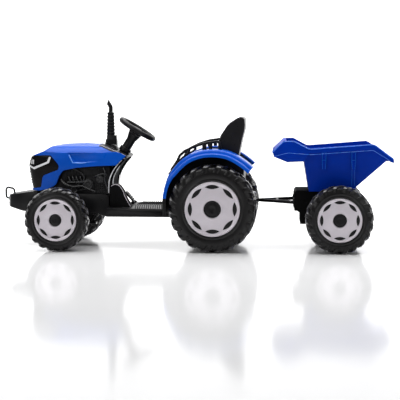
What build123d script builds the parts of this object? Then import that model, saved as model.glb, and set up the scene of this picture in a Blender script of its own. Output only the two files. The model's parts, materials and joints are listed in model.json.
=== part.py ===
"""Ride-on toy tractor with a tipping two-wheeled trailer.

Frame: millimetres, +X from the nose back to the trailer's tail, +Y to the
tractor's right-hand side, +Z up. Origin on the ground plane, at the centre of
the whole train's bounding box.
"""

import math
import os

from build123d import *

os.makedirs("parts", exist_ok=True)

# ---------------------------------------------------------------- dimensions
HALF_TRACK = 237.0          # outer face of every wheel from the centre plane
FRONT_X, FRONT_R, FRONT_W = -480.0, 113.5, 78.0
REAR_X, REAR_R, REAR_W = 78.0, 156.0, 100.0
TRAIL_X, TRAIL_R, TRAIL_W = 524.0, 119.5, 82.0
HUBCAP_R = {FRONT_R: 75.3, REAR_R: 97.3, TRAIL_R: 78.0}   # hubcap radius by tyre radius
CAP_R = {FRONT_R: 22.0, REAR_R: 30.5, TRAIL_R: 24.0}      # centre cap radius by tyre radius
LUGS = 20                   # tread lugs on each side of a tyre
AXLE_R = 6.0                # every wheel runs on a 12 mm axle
RUN = 0.08                  # radial clearance of a running bore
FIT = 0.05                  # radial clearance of a fixed pin

KINGPIN_Y = 130.0           # kingpin axis from the centre plane
KINGPIN_R = 6.0
STEER_ARM = 45.0            # kingpin to tie-rod pin
TIE_X = FRONT_X + STEER_ARM
CRANK = 35.0                # steering shaft to crank finger

WHEEL_C = (-214.0, 0.0, 430.5)                    # steering wheel centre
TILT = math.radians(31.7)                         # shaft lean from vertical
SHAFT_UP = Vector(math.sin(TILT), 0, math.cos(TILT))
SHAFT_ARM = Vector(math.cos(TILT), 0, -math.sin(TILT))
SHAFT_R = 6.0

DASH_A, DASH_B = (-336.0, 376.0), (-244.0, 337.0)  # dashboard's front and rear edges
HITCH = (215.0, 0.0, 170.0)
TIP_X, TIP_Z = 575.0, 205.0                       # tub tipping axis
FLOOR_Z = 150.0                                   # footboard top
PEDAL_X, PEDAL_Z = -238.0, 155.5                  # pedal hinge axis

made = {}


def save(builder, name):
    builder.part.label = name
    export_step(builder.part, f"parts/{name}.step")
    made[name] = builder.part


# --------------------------------------------------------------- small helpers
def side_prism(points, y0, y1, mode=Mode.ADD):
    """Side-view outline (x, z) carried from y0 to y1, into the part being built."""
    with BuildSketch(Plane.XZ.offset(-y0)) as outline:
        with BuildLine():
            Polyline(*points, close=True)
        make_face()
    extrude(outline.sketch, amount=-(y1 - y0), mode=mode)


def top_prism(points, z0, z1, mode=Mode.ADD):
    """Top-view outline (x, y) carried from z0 to z1."""
    with BuildSketch(Plane.XY.offset(z0)) as outline:
        with BuildLine():
            Polyline(*points, close=True)
        make_face()
    extrude(outline.sketch, amount=z1 - z0, mode=mode)


def front_prism(points, x0, x1, mode=Mode.ADD):
    """Front-view outline (y, z) carried from x0 to x1."""
    with BuildSketch(Plane.YZ.offset(x0)) as outline:
        with BuildLine():
            Polyline(*points, close=True)
        make_face()
    extrude(outline.sketch, amount=x1 - x0, mode=mode)


def block(x0, x1, y0, y1, z0, z1, mode=Mode.ADD):
    with BuildSketch(Plane.XY.offset(z0)) as outline:
        with Locations(((x0 + x1) / 2, (y0 + y1) / 2)):
            Rectangle(x1 - x0, y1 - y0)
    extrude(outline.sketch, amount=z1 - z0, mode=mode)


def rod(start, end, radius, mode=Mode.ADD):
    """Round bar between two points."""
    a, b = Vector(*start), Vector(*end)
    with BuildSketch(Plane(origin=a, z_dir=(b - a).normalized())) as section:
        Circle(radius)
    extrude(section.sketch, amount=(b - a).length, mode=mode)


# --------------------------------------------------------------------- wheels
def wheel_plane(x, z):
    """Local x is radial, local y runs along +Y of the vehicle."""
    return Plane(origin=(x, 0, z), x_dir=(1, 0, 0), z_dir=(0, 0, 1))


def tyre(x, r, w, name_left, name_right):
    """Blown plastic wheel: tread, sidewalls, web and hub tube, open at the back."""
    rim = HUBCAP_R[r]
    seat = rim + 1.0
    o = -HALF_TRACK          # outer face of the left-hand wheel
    bore = AXLE_R + RUN
    profile = [
        (bore, o + 10), (seat, o + 10), (seat, o + 4), (seat + 4, o), (0.86 * r, o),
        (0.935 * r, o + 7), (0.95 * r, o + 14), (0.95 * r, o + w - 14),
        (0.935 * r, o + w - 7), (0.86 * r, o + w), (0.72 * r, o + w),
        (0.72 * r, o + w - 4.5), (0.85 * r, o + w - 5), (0.905 * r, o + w - 15),
        (0.905 * r, o + 15), (0.85 * r, o + 5.5), (seat + 5, o + 6), (seat + 4.5, o + 14.5),
        (20, o + 14.5), (20, o + w - 4), (bore, o + w - 4),
    ]
    axis = Axis((x, 0, r), (0, 1, 0))
    half_tread = w / 2
    with BuildPart() as left:
        with BuildSketch(wheel_plane(x, r)):
            with BuildLine():
                Polyline(*profile, close=True)
            make_face()
        revolve(axis=axis)
        # chevron lugs, the two rows half a pitch apart
        for i in range(LUGS):
            for side in (0, 1):
                a = math.radians(360.0 * (i + 0.5 * side) / LUGS)
                radial = (math.cos(a), 0, math.sin(a))
                tangent = (-math.sin(a), 0, math.cos(a))
                foot = Plane(origin=(x + 0.92 * r * radial[0], o + half_tread, r + 0.92 * r * radial[2]),
                             x_dir=tangent, z_dir=radial)
                s = -1 if side == 0 else 1
                flip = 1 if foot.y_dir.Y > 0 else -1
                e0, e1 = s * flip * 3.0, s * flip * (half_tread - 1.5)
                k = 0.0565 * r
                with BuildSketch(foot) as lug:
                    with BuildLine():
                        Polyline((-0.055 * r, e0), (-0.055 * r + k, e0), (0.055 * r + 1.25 * k, e1),
                                 (0.055 * r - 0.25 * k, e1), close=True)
                    make_face()
                extrude(lug.sketch, amount=0.1 * r)
        with BuildSketch(wheel_plane(x, r)) as envelope:
            with BuildLine():
                Polyline((bore, o - 1), (0.83 * r, o - 1), (0.83 * r, o), (0.90 * r, o + 5), (0.965 * r, o + 14),
                         (r, o + 26), (r, o + w - 26), (0.965 * r, o + w - 14), (0.90 * r, o + w - 5),
                         (0.83 * r, o + w), (0.83 * r, o + w + 1), (bore, o + w + 1), close=True)
            make_face()
        revolve(envelope.sketch, axis=axis, mode=Mode.INTERSECT)
    save(left, name_left)
    with BuildPart() as right:
        add(left.part)
        mirror(about=Plane.XZ, mode=Mode.REPLACE)
    save(right, name_right)


def hubcap(x, r, name_left, name_right):
    """Silver wheel disc: raised ring, dished centre, eight lens-shaped slots."""
    rim, cap = HUBCAP_R[r], CAP_R[r]
    o = -HALF_TRACK
    profile = [
        (cap, o + 8), (cap, o + 3.5), (0.62 * rim, o + 5.5), (0.66 * rim, o + 6), (0.915 * rim, o + 4.5),
        (0.925 * rim, o + 2.5), (rim - 1.5, o + 2), (rim, o + 3.5), (rim, o + 9.7), (cap, o + 9.7),
    ]
    with BuildPart() as left:
        with BuildSketch(wheel_plane(x, r)):
            with BuildLine():
                Polyline(*profile, close=True)
            make_face()
        revolve(axis=Axis((x, 0, r), (0, 1, 0)))
        for i in range(8):
            a = math.radians(45.0 * i)
            u, t = (math.cos(a), math.sin(a)), (-math.sin(a), math.cos(a))

            def at(radial, across):
                return (x + radial * u[0] + across * t[0], r + radial * u[1] + across * t[1])

            h = 0.24 * rim
            with BuildSketch(Plane.XZ.offset(-(o + 20))) as slot:
                with BuildLine():
                    ThreePointArc(at(0.80 * rim, -h), at(0.885 * rim, 0), at(0.80 * rim, h))
                    ThreePointArc(at(0.80 * rim, h), at(0.745 * rim, 0), at(0.80 * rim, -h))
                make_face()
            extrude(slot.sketch, amount=30, mode=Mode.SUBTRACT)
    save(left, name_left)
    with BuildPart() as right:
        add(left.part)
        mirror(about=Plane.XZ, mode=Mode.REPLACE)
    save(right, name_right)


def centre_cap(x, r, name_left, name_right):
    """Black snap-in cap that hides the axle nut."""
    cap = CAP_R[r] - 0.3
    o = -HALF_TRACK
    with BuildPart() as left:
        with BuildSketch(wheel_plane(x, r)):
            with BuildLine():
                Polyline((0, o + 0.3), (cap - 4, o + 0.3), (cap - 1, o + 1.6), (cap, o + 3.4), (cap, o + 9.7),
                         (cap - 3, o + 9.7), (cap - 3, o + 5.0), (0, o + 3.6), close=True)
            make_face()
        revolve(axis=Axis((x, 0, r), (0, 1, 0)))
    save(left, name_left)
    with BuildPart() as right:
        add(left.part)
        mirror(about=Plane.XZ, mode=Mode.REPLACE)
    save(right, name_right)


for tag, wx, wr, ww in (("front", FRONT_X, FRONT_R, FRONT_W), ("rear", REAR_X, REAR_R, REAR_W),
                        ("trailer", TRAIL_X, TRAIL_R, TRAIL_W)):
    tyre(wx, wr, ww, f"{tag}_left_tyre", f"{tag}_right_tyre")
    hubcap(wx, wr, f"{tag}_left_hubcap", f"{tag}_right_hubcap")
    centre_cap(wx, wr, f"{tag}_left_cap", f"{tag}_right_cap")

# ----------------------------------------------------------- hood and its face
# The hood is the common volume of a side outline, a plan outline and a front
# outline, hollowed by the same three outlines moved in by the wall thickness.
def hood_volume(grow):
    """The hood's outer volume, moved in by -grow, in the part being built."""
    g = grow
    side_prism([(-596 - g, 200), (-606 - g, 235), (-612 - g, 267), (-616 - g, 296), (-608 - g, 316 + g),
                (-600 - g, 332 + g), (-548, 352 + g), (-527, 370 + g), (-479, 376 + g), (-395, 380 + g),
                (-374, 377 + g), (-336, 376 + g), (-244, 337 + g), (-236, 300), (-236, 200)], -130, 130)
    top_prism([(-617 - g, -50 - g), (-617 - g, 50 + g), (-604, 74 + g), (-566, 92 + g), (-500, 101 + g),
               (-330, 101 + g), (-236, 97 + g), (-236, -97 - g), (-330, -101 - g), (-500, -101 - g),
               (-566, -92 - g), (-604, -74 - g)], 190, 400, mode=Mode.INTERSECT)
    front_prism([(-98 - g, 195), (-102 - g, 300), (-98 - g, 348), (-66 - g, 371 + g), (-36 - g, 374 + g),
                 (-28, 382 + g), (28, 382 + g), (36 + g, 374 + g), (66 + g, 371 + g), (98 + g, 348),
                 (102 + g, 300), (98 + g, 195)], -640, -200, mode=Mode.INTERSECT)


FACE_REGION = [(-640, 334), (-522, 338), (-491, 301), (-493, 285), (-552, 262), (-560, 219), (-600, 214),
               (-640, 214)]
LENS_REGION = [(-640, 328), (-528, 331), (-535, 314), (-588, 293), (-604, 300), (-640, 300)]
STRIP_REGION = [(-528, 331), (-521, 331), (-528, 309), (-586, 285), (-606, 294), (-640, 294), (-640, 300),
                (-604, 300), (-588, 293), (-535, 314)]
UNDER_HOOD = [(-700, 150), (-700, 207), (-568, 207), (-540, 212), (-503, 229), (-491, 262), (-476, 282),
              (-428, 292), (-350, 299), (-283, 301), (-244, 337), (-230, 337), (-230, 150)]

with BuildPart() as hood_inner:
    hood_volume(-4.0)
with BuildPart() as hood:
    hood_volume(0.0)
    add(hood_inner.part, mode=Mode.SUBTRACT)
    side_prism(UNDER_HOOD, -140, 140, mode=Mode.SUBTRACT)
    side_prism(FACE_REGION, -140, 140, mode=Mode.SUBTRACT)
    # dashboard opening, behind a 6 mm rim on each side
    side_prism([(-347.4, 368), (-337.4, 367.4), (-242.5, 327.4), (-225, 318), (-200, 318), (-200, 420), (-347.4, 420)],
               -94.8, 94.8, mode=Mode.SUBTRACT)
    # power scoop pressed into each flank
    for s in (-1, 1):
        side_prism([(-455, 338), (-432, 311), (-360, 308), (-352, 330), (-400, 338)],
                   *sorted((s * 101.0, s * 110.0)), mode=Mode.SUBTRACT)
save(hood, "hood")

with BuildPart() as face_outer:
    hood_volume(-2.2)
with BuildPart() as face_inner:
    hood_volume(-6.5)
with BuildPart() as lens_outer:
    hood_volume(-1.0)
with BuildPart() as strip_outer:
    hood_volume(-0.2)

with BuildPart() as grille_panel:
    add(face_outer.part)
    add(face_inner.part, mode=Mode.SUBTRACT)
    side_prism([(-640, 333.5), (-522.3, 337.5), (-491.5, 301), (-493.5, 285.4), (-552.4, 262.4), (-560.4, 219.4),
                (-600, 214.4), (-640, 214.4)], -140, 140, mode=Mode.INTERSECT)
save(grille_panel, "grille_panel")

with BuildPart() as headlight_lenses:
    add(lens_outer.part)
    add(face_outer.part, mode=Mode.SUBTRACT)
    side_prism(LENS_REGION, -140, 140, mode=Mode.INTERSECT)
    block(-650, -500, -26, 26, 200, 400, mode=Mode.SUBTRACT)
save(headlight_lenses, "headlight_lenses")

with BuildPart() as light_strips:
    add(strip_outer.part)
    add(face_outer.part, mode=Mode.SUBTRACT)
    side_prism([(x, z - 0.3) for x, z in STRIP_REGION], -140, 140, mode=Mode.INTERSECT)
    side_prism(LENS_REGION, -140, 140, mode=Mode.SUBTRACT)
save(light_strips, "light_strips")

# ------------------------------------------------------------ dashboard group
slope = math.atan2(DASH_A[1] - DASH_B[1], DASH_B[0] - DASH_A[0])
DASH_UP = Vector(math.sin(slope), 0, math.cos(slope))
COLUMN_DASH_X = -266.8
with BuildPart() as dash_limit:
    hood_volume(0.6)
with BuildPart() as dashboard:
    side_prism([(-347, 374.5), (-336, 374.5), (-243, 335.0), (-243, 328), (-337, 367.9), (-347, 368.5)], -94.5, 94.5)
    add(dash_limit.part, mode=Mode.INTERSECT)
    # raised binnacle in front of the column, and the exhaust's foot pad
    side_prism([(-312, 361), (-306, 376), (-290, 369.5), (-286, 350)], -34, 12)
    edges_up = dashboard.edges().filter_by(Axis.Y).group_by(Axis.Z)[-1]
    fillet(edges_up, 3)
    # hole for the column, along the shaft
    rod(Vector(*WHEEL_C) - SHAFT_UP * 150, Vector(*WHEEL_C) - SHAFT_UP * 60, 17.3, mode=Mode.SUBTRACT)
    # wells for the power button and the direction switch
    for wy, wr_ in ((-62, 8.3),):
        c = Vector(-300, wy, 374.5 - (-300 + 336) * math.tan(slope))
        rod(c - DASH_UP * 12, c + DASH_UP * 12, wr_, mode=Mode.SUBTRACT)
    c = Vector(-262, -62, 374.5 - (-262 + 336) * math.tan(slope))
    with BuildSketch(Plane(origin=c - DASH_UP * 12, x_dir=(0, 1, 0), z_dir=DASH_UP)) as rocker_well:
        Rectangle(12.6, 20.6)
    extrude(rocker_well.sketch, amount=24, mode=Mode.SUBTRACT)
save(dashboard, "dashboard")

with BuildPart() as power_button:
    c = Vector(-300, -62, 374.5 - (-300 + 336) * math.tan(slope))
    rod(c - DASH_UP * 10, c + DASH_UP * 4, 8.0)
    fillet(power_button.faces().sort_by(Axis.Z)[-1].edges(), 1.2)
save(power_button, "power_button")

with BuildPart() as direction_switch:
    c = Vector(-262, -62, 374.5 - (-262 + 336) * math.tan(slope))
    rocker = Plane(origin=c - DASH_UP * 2.5, x_dir=DASH_UP.cross(Vector(0, 1, 0)), z_dir=(0, 1, 0))
    with BuildSketch(rocker.offset(-5.9)) as rocker_side:
        with BuildLine():
            Polyline((-9.2, 1.0), (-9.2, 5.2), (0, 3.6), (9.2, 5.2), (9.2, 1.0), (3.0, -5.5), (-3.0, -5.5), close=True)
        make_face()
    extrude(rocker_side.sketch, amount=11.8)
save(direction_switch, "direction_switch")

with BuildPart() as steering_column:
    foot, head = Vector(*WHEEL_C) - SHAFT_UP * 97, Vector(*WHEEL_C) - SHAFT_UP * 22
    rod(foot - SHAFT_UP * 14, foot, 17.0)
    rod(foot, foot + SHAFT_UP * 16, 22.0)
    rod(foot + SHAFT_UP * 10, head, 17.0)
    with BuildSketch(Plane(origin=head - SHAFT_UP * 24, z_dir=SHAFT_UP)) as bell_low:
        Circle(16.9)
    with BuildSketch(Plane(origin=head, z_dir=SHAFT_UP)) as bell_high:
        Circle(24.0)
    loft([bell_low.sketch.faces()[0], bell_high.sketch.faces()[0]])
    rod(foot - SHAFT_UP * 30, head + SHAFT_UP * 10, SHAFT_R + RUN, mode=Mode.SUBTRACT)
save(steering_column, "steering_column")

hub = Plane(origin=WHEEL_C, x_dir=SHAFT_ARM, z_dir=SHAFT_UP)
with BuildPart() as steering_wheel:
    with BuildSketch(Plane(origin=WHEEL_C, x_dir=SHAFT_ARM, z_dir=(0, -1, 0))) as grip:
        with Locations((67.5, 0)):
            Ellipse(9.0, 9.5)
    revolve(grip.sketch, axis=Axis(WHEEL_C, SHAFT_UP))
    # dished hub and three spokes
    rod(Vector(*WHEEL_C) - SHAFT_UP * 20, Vector(*WHEEL_C) + SHAFT_UP * 1, 25.0)
    with BuildSketch(hub.offset(-9)) as spokes:
        with PolarLocations(0, 3, start_angle=0):
            with Locations((36, 0)):
                Rectangle(66, 20)
    extrude(spokes.sketch, amount=9)
    # recess for the horn button and the shaft's socket
    rod(Vector(*WHEEL_C) - SHAFT_UP * 8, Vector(*WHEEL_C) + SHAFT_UP * 4, 17.3, mode=Mode.SUBTRACT)
    rod(Vector(*WHEEL_C) - SHAFT_UP * 24, Vector(*WHEEL_C) - SHAFT_UP * 10.9, SHAFT_R + FIT, mode=Mode.SUBTRACT)
save(steering_wheel, "steering_wheel")

with BuildPart() as horn_button:
    rod(Vector(*WHEEL_C) - SHAFT_UP * 5.0, Vector(*WHEEL_C) + SHAFT_UP * 4.0, 17.0)
    fillet(horn_button.faces().sort_by(Axis.Z)[-1].edges(), 2.0)
save(horn_button, "horn_button")

SHAFT_LOW = Vector(*WHEEL_C) - SHAFT_UP * 353
FINGER_TOP = SHAFT_LOW + SHAFT_ARM * CRANK
with BuildPart() as steering_shaft:
    rod(SHAFT_LOW - SHAFT_UP * 6, Vector(*WHEEL_C) - SHAFT_UP * 11, SHAFT_R)
    with BuildSketch(Plane(origin=SHAFT_LOW - SHAFT_UP * 6, x_dir=SHAFT_ARM, z_dir=SHAFT_UP)) as crank:
        with Locations((CRANK / 2, 0)):
            SlotCenterToCenter(CRANK, 16)
    extrude(crank.sketch, amount=10)
    rod(FINGER_TOP, FINGER_TOP - SHAFT_UP * 47, 5.0)
save(steering_shaft, "steering_shaft")

# ------------------------------------------------------------- steering gear
TIE_Z0, TIE_Z1 = 76.0, 84.0
with BuildPart() as tie_rod:
    block(TIE_X - 8, TIE_X + 8, -120, 120, TIE_Z0, TIE_Z1)
    for s in (-1, 1):
        block(TIE_X - 15, TIE_X + 13, s * 130 - 14, s * 130 + 14, TIE_Z0, TIE_Z1)
        # eye, longer fore and aft because the knuckle pin swings on an arc
        block(TIE_X - 10.5, TIE_X + 5.5, s * 130 - 5.2, s * 130 + 5.2, TIE_Z0 - 1, TIE_Z1 + 1, mode=Mode.SUBTRACT)
    block(TIE_X + 6, -370, -16, 16, TIE_Z0, TIE_Z1)
    block(-406, -378, -6.3, 6.3, TIE_Z0 - 1, TIE_Z1 + 1, mode=Mode.SUBTRACT)
save(tie_rod, "tie_rod")

with BuildPart() as front_axle:
    block(FRONT_X - 11, FRONT_X + 11, -116, 116, 104, 124)
    for s in (-1, 1):
        rod((FRONT_X, s * KINGPIN_Y, 97), (FRONT_X, s * KINGPIN_Y, 130), 15)
        rod((FRONT_X, s * KINGPIN_Y, 90), (FRONT_X, s * KINGPIN_Y, 140), KINGPIN_R + RUN, mode=Mode.SUBTRACT)
save(front_axle, "front_axle")


def knuckle(s, name):
    """Kingpin, C-shaped yoke, stub axle and trailing steering arm; s is -1 on the left."""
    y = s * KINGPIN_Y
    with BuildPart() as part:
        rod((FRONT_X, y, 88), (FRONT_X, y, 139), KINGPIN_R)
        lo, hi = sorted((y - s * 10, y + s * 24))
        block(FRONT_X - 10, FRONT_X + 10, lo, hi, 87, 94)
        block(FRONT_X - 10, FRONT_X + 10, lo, hi, 133, 140)
        lo, hi = sorted((y + s * 18, y + s * 24))
        block(FRONT_X - 10, FRONT_X + 10, lo, hi, 87, 140)
        rod((FRONT_X, y + s * 20, FRONT_R), (FRONT_X, s * (HALF_TRACK - 9), FRONT_R), AXLE_R)
        block(FRONT_X, TIE_X, *sorted((y - 8, y + 8)), 87, 94)
        rod((TIE_X, y, 94), (TIE_X, y, 73), 4.0)
        rod((TIE_X, y, 94), (TIE_X, y, 87), 8.0)
    save(part, name)


knuckle(-1, "left_knuckle")
knuckle(1, "right_knuckle")

# -------------------------------------------------------------------- chassis
with BuildPart() as chassis:
    side_prism([(-575, 130), (-575, 196), (-330, 196), (-309, 190), (-309, 129), (8, 129), (8, 112),
                (-318, 112), (-360, 126)], -90, 90)
    side_prism([(-571, 120), (-571, 192), (-330, 192), (-313, 187), (-313, 125), (4, 125), (4, 100),
                (-571, 100)], -86, 86, mode=Mode.SUBTRACT)
    block(-250, -246, -88, 88, 113, 127)
    block(-130, -126, -88, 88, 113, 127)
    # passage for the steering shaft
    block(-385, -338, -12, 12, 180, 210, mode=Mode.SUBTRACT)
    # bridge that carries the front axle beam
    block(FRONT_X - 14, FRONT_X + 14, -88, 88, 124.2, 130)
save(chassis, "chassis")

with BuildPart() as footboard:
    block(-309, -105, -140, 140, 126, FLOOR_Z - 2)
    block(-305, -109, -136, 136, 120, FLOOR_Z - 6, mode=Mode.SUBTRACT)
    block(-320, -100, -93, 93, 110, 129.3, mode=Mode.SUBTRACT)
    # slanting anti-slip ribs on both foot wells
    for s in (-1, 1):
        for i in range(13):
            x = -217 + i * 8.0
            y0, y1 = (20, 134)
            top_prism([(x - 3, s * y0), (x, s * y0), (x + 12, s * y1), (x + 9, s * y1)], FLOOR_Z - 3, FLOOR_Z)
    # ears for the pedal's hinge
    for y0, y1 in ((37.4, 41.4), (88.6, 92.6)):
        side_prism([(PEDAL_X - 6, 147), (PEDAL_X - 6, 155), (PEDAL_X - 2.5, 159.5), (PEDAL_X + 2.5, 159.5),
                    (PEDAL_X + 6, 155), (PEDAL_X + 6, 147)], y0, y1)
    rod((PEDAL_X, 30, PEDAL_Z), (PEDAL_X, 100, PEDAL_Z), 2.4 + RUN, mode=Mode.SUBTRACT)
save(footboard, "footboard")

with BuildPart() as front_bumper:
    side_prism([(-690, 146), (-694, 178), (-688, 189), (-575.3, 206), (-575.3, 128), (-630, 131)], -100, 100)
    top_prism([(-700, -22), (-700, 22), (-682, 58), (-640, 80), (-570, 88), (-570, -88), (-640, -80), (-682, -58)], 100, 220,
              mode=Mode.INTERSECT)
    fillet(front_bumper.edges().filter_by(Axis.Y).group_by(Axis.X)[0], 4)
    # three cast-style weight slots across the front
    for y in (-16, 16):
        block(-700, -691.0, y - 1.5, y + 1.5, 150, 176, mode=Mode.SUBTRACT)
save(front_bumper, "front_bumper")

with BuildPart() as front_tow_loop:
    with BuildLine() as loop_path:
        FilletPolyline((-691.8, 0, 171), (-712.1, 0, 172), (-712.1, 0, 213.4), (-682, 0, 207), (-680, 0, 190.6), radius=9)
    with BuildSketch(Plane(origin=(-691.8, 0, 171), z_dir=(-20.3, 0, 1))) as loop_section:
        Circle(3.6)
    sweep(loop_section.sketch, path=loop_path.line)
    side_prism([(-690.0, 146), (-694.2, 178), (-688.1, 189.3), (-575, 206.3), (-575, 120), (-690, 120)], -8, 8,
               mode=Mode.SUBTRACT)
save(front_tow_loop, "front_tow_loop")

SOCKET_X, SOCKET_Z, SOCKET_R = -342.0, 216.0, 2.75

# engine block moulding under the hood: a hollow box with relief on both sides
with BuildPart() as engine_block:
    side_prism([(-560, 196.3), (-560, 212), (-528, 226), (-498, 238), (-486, 268), (-474, 287), (-428, 297),
                (-350, 303), (-306, 303), (-306, 196.3)], -84, 84)
    side_prism([(-556, 190), (-556, 210), (-526, 222), (-494, 234), (-482, 266), (-471, 283), (-428, 310),
                (-310, 310), (-310, 190)], -80, 80, mode=Mode.SUBTRACT)
    for s in (-1, 1):
        def yy(a, b):
            return sorted((s * a, s * b))
        for i in range(5):
            block(-470 + i * 11, -465 + i * 11, *yy(83, 88), 240.5, 284)    # cylinder fins
        block(-474, -413, *yy(83, 86.5), 233, 238)
        block(-404, -318, *yy(83, 86), 262, 290)                            # rocker cover
        block(-396, -372, *yy(85, 89), 266, 286)
        for i in range(4 if s < 0 else 0):
            block(-360 + i * 10, -355 + i * 10, *yy(83, 88), 200, 232)      # sump ribs, left side only
        rod((-342, s * 83, 250), (-342, s * 92, 250), 13)                   # oil filter
        rod((-386, s * 83, 232), (-386, s * 90, 232), 17)                   # pulley
        rod((-386, s * 89, 232), (-386, s * 92, 232), 7)
        rod((-438, s * 83, 214), (-438, s * 89, 214), 10)
        block(-538, -484, *yy(83, 85.5), 204, 214)
    # hole for the charging socket, low on the right side
    rod((SOCKET_X, 70, SOCKET_Z), (SOCKET_X, 95, SOCKET_Z), 9.0, mode=Mode.SUBTRACT)
    # clearance for the steering shaft
    rod(SHAFT_LOW + SHAFT_UP * 120, SHAFT_LOW + SHAFT_UP * 220, 10.0, mode=Mode.SUBTRACT)
save(engine_block, "engine_block")

with BuildPart() as firewall:
    # recessed panel, with a rim standing back from each edge
    side_prism([(-259, 326), (-286, 293), (-303, 254), (-305.5, 226), (-305.5, 197), (-301.5, 197), (-301.5, 226),
                (-299, 253), (-282, 291), (-254, 325)], -92, 92)
    for s in (-1, 1):
        side_prism([(-259, 326), (-286, 293), (-303, 254), (-305.5, 226), (-305.5, 197), (-298, 197), (-298, 226),
                    (-295, 252), (-277, 289), (-247, 323.5)], *sorted((s * 86, s * 92)))
    # rounded toe guard over the front of the foot wells
    side_prism([(-301.5, 150.3), (-301.5, 228), (-292, 233), (-278, 234.6), (-265, 228), (-253, 212), (-245, 189),
                (-231, 164), (-224, 150.3)], -112, -74)
    side_prism([(-305.5, 150.3), (-305.5, 198), (-301.5, 198), (-296, 176), (-290, 150.3)], -92, 92)
    side_prism([(-297.5, 140), (-297.5, 224), (-290, 229), (-279, 230), (-268, 224), (-257, 210), (-249, 187),
                (-235, 162), (-230, 140)], -108, -78, mode=Mode.SUBTRACT)
save(firewall, "firewall")

with BuildPart() as foot_pedal:
    # treadle hinged at its heel in front of the toe guard
    side_prism([(PEDAL_X - 4, PEDAL_Z + 2), (PEDAL_X - 33, PEDAL_Z + 35), (PEDAL_X - 30, PEDAL_Z + 38.5),
                (PEDAL_X - 24, PEDAL_Z + 36), (PEDAL_X + 3.2, PEDAL_Z + 3), (PEDAL_X + 3, PEDAL_Z - 3),
                (PEDAL_X - 1, PEDAL_Z - 4.5)], 42, 88)
    rod((PEDAL_X, 37.6, PEDAL_Z), (PEDAL_X, 92.4, PEDAL_Z), 2.4)
    # grip ribs across the plate
    for i in range(4):
        gx, gz = PEDAL_X - 1.5 - i * 5.6, PEDAL_Z + 8 + i * 6.8
        side_prism([(gx, gz), (gx + 3, gz + 2.4), (gx + 1, gz + 4.8), (gx - 2, gz + 2.4)], 46, 84)
save(foot_pedal, "foot_pedal")

# -------------------------------------------------------------------- exhaust
EX, EY = -321.0, 48.0
with BuildPart() as exhaust_stack:
    with BuildSketch(Plane.XY.offset(352)) as low:
        with Locations((EX, EY)):
            RectangleRounded(50, 42, 9)
    with BuildSketch(Plane.XY.offset(392)) as mid:
        with Locations((EX + 3, EY)):
            RectangleRounded(41, 38, 9)
    loft([low.sketch.faces()[0], mid.sketch.faces()[0]])
    with BuildSketch(Plane.XY.offset(392)) as collar:
        with Locations((EX + 4, EY)):
            RectangleRounded(36, 36, 8)
    extrude(collar.sketch, amount=14)
    with BuildSketch(Plane.XY.offset(406)) as base_ring:
        with Locations((EX, EY)):
            Circle(14.5)
    with BuildSketch(Plane.XY.offset(492)) as top_ring:
        with Locations((EX, EY)):
            Circle(11.5)
    loft([base_ring.sketch.faces()[0], top_ring.sketch.faces()[0]])
    # the foot stands on the dashboard's flat edge and its slope
    side_prism([(-400, 374.8), (-336, 374.8), (-243, 335.3), (-243, 300), (-400, 300)], EY - 40, EY + 40,
               mode=Mode.SUBTRACT)
    # heat-shield louvres on the stack
    for i in range(6):
        z = 414 + i * 12.5
        block(EX - 9, EX + 20, EY - 20, EY - 9.8, z, z + 5, mode=Mode.SUBTRACT)
        block(EX - 9, EX + 20, EY + 9.8, EY + 20, z, z + 5, mode=Mode.SUBTRACT)
    # bent tail pipe, cut off at a slant
    with BuildLine() as pipe_path:
        FilletPolyline((EX, EY, 490), (EX, EY, 513), (EX - 24, EY, 552), radius=16)
    with BuildSketch(Plane(origin=(EX, EY, 490), z_dir=(0, 0, 1))) as pipe_end:
        Circle(7.5)
    sweep(pipe_end.sketch, path=pipe_path.line)
    side_prism([(EX - 60, 506), (EX - 19, 506), (EX - 8, 540), (EX + 30, 540), (EX + 30, 600), (EX - 60, 600)],
               EY - 20, EY + 20, mode=Mode.SUBTRACT)
save(exhaust_stack, "exhaust_stack")

# --------------------------------------------------- rear housing and fenders
# Fender line in side view, as (x, z) of the outer flange's top edge, front foot
# first. The inner band stands up to BAND_UP outside it; RISE is its share at each point.
FLANGE = [(-100, 128), (-100, 165), (-99.5, 196), (-93.5, 226), (-84.5, 250), (-75, 267), (-58, 286.5), (-40.2, 305.5),
          (-22.6, 321), (-5.1, 332.5), (12.5, 340.4), (30.1, 346), (47.5, 349.5), (65.2, 351), (82.7, 351),
          (100.3, 349.7), (118, 346.8), (135.5, 341.6), (153, 333.6), (170.6, 323.2), (191.7, 308), (211, 291)]
RISE = [0.15, 0.15, 0.15, 0.2, 0.3, 0.4, 0.6, 0.8, 0.95, 1, 1, 1, 1, 1, 1, 1, 1, 1, 1, 1, 1, 1]
BAND_UP = 13.0


def fender_line(up, grow=0.0, first=0, last=len(FLANGE), foot=None):
    """The flange line moved out along its own normals; foot sets the lowest point's height."""
    out = []
    for i in range(first, last):
        (x0, z0), (x1, z1) = FLANGE[max(i - 1, 0)], FLANGE[min(i + 1, len(FLANGE) - 1)]
        tx, tz = x1 - x0, z1 - z0
        n = math.hypot(tx, tz)
        d = up * RISE[i] + grow
        out.append((FLANGE[i][0] - d * tz / n, FLANGE[i][1] + d * tx / n))
    if foot is not None:
        out[0] = (out[0][0], foot)
    return out


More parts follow.
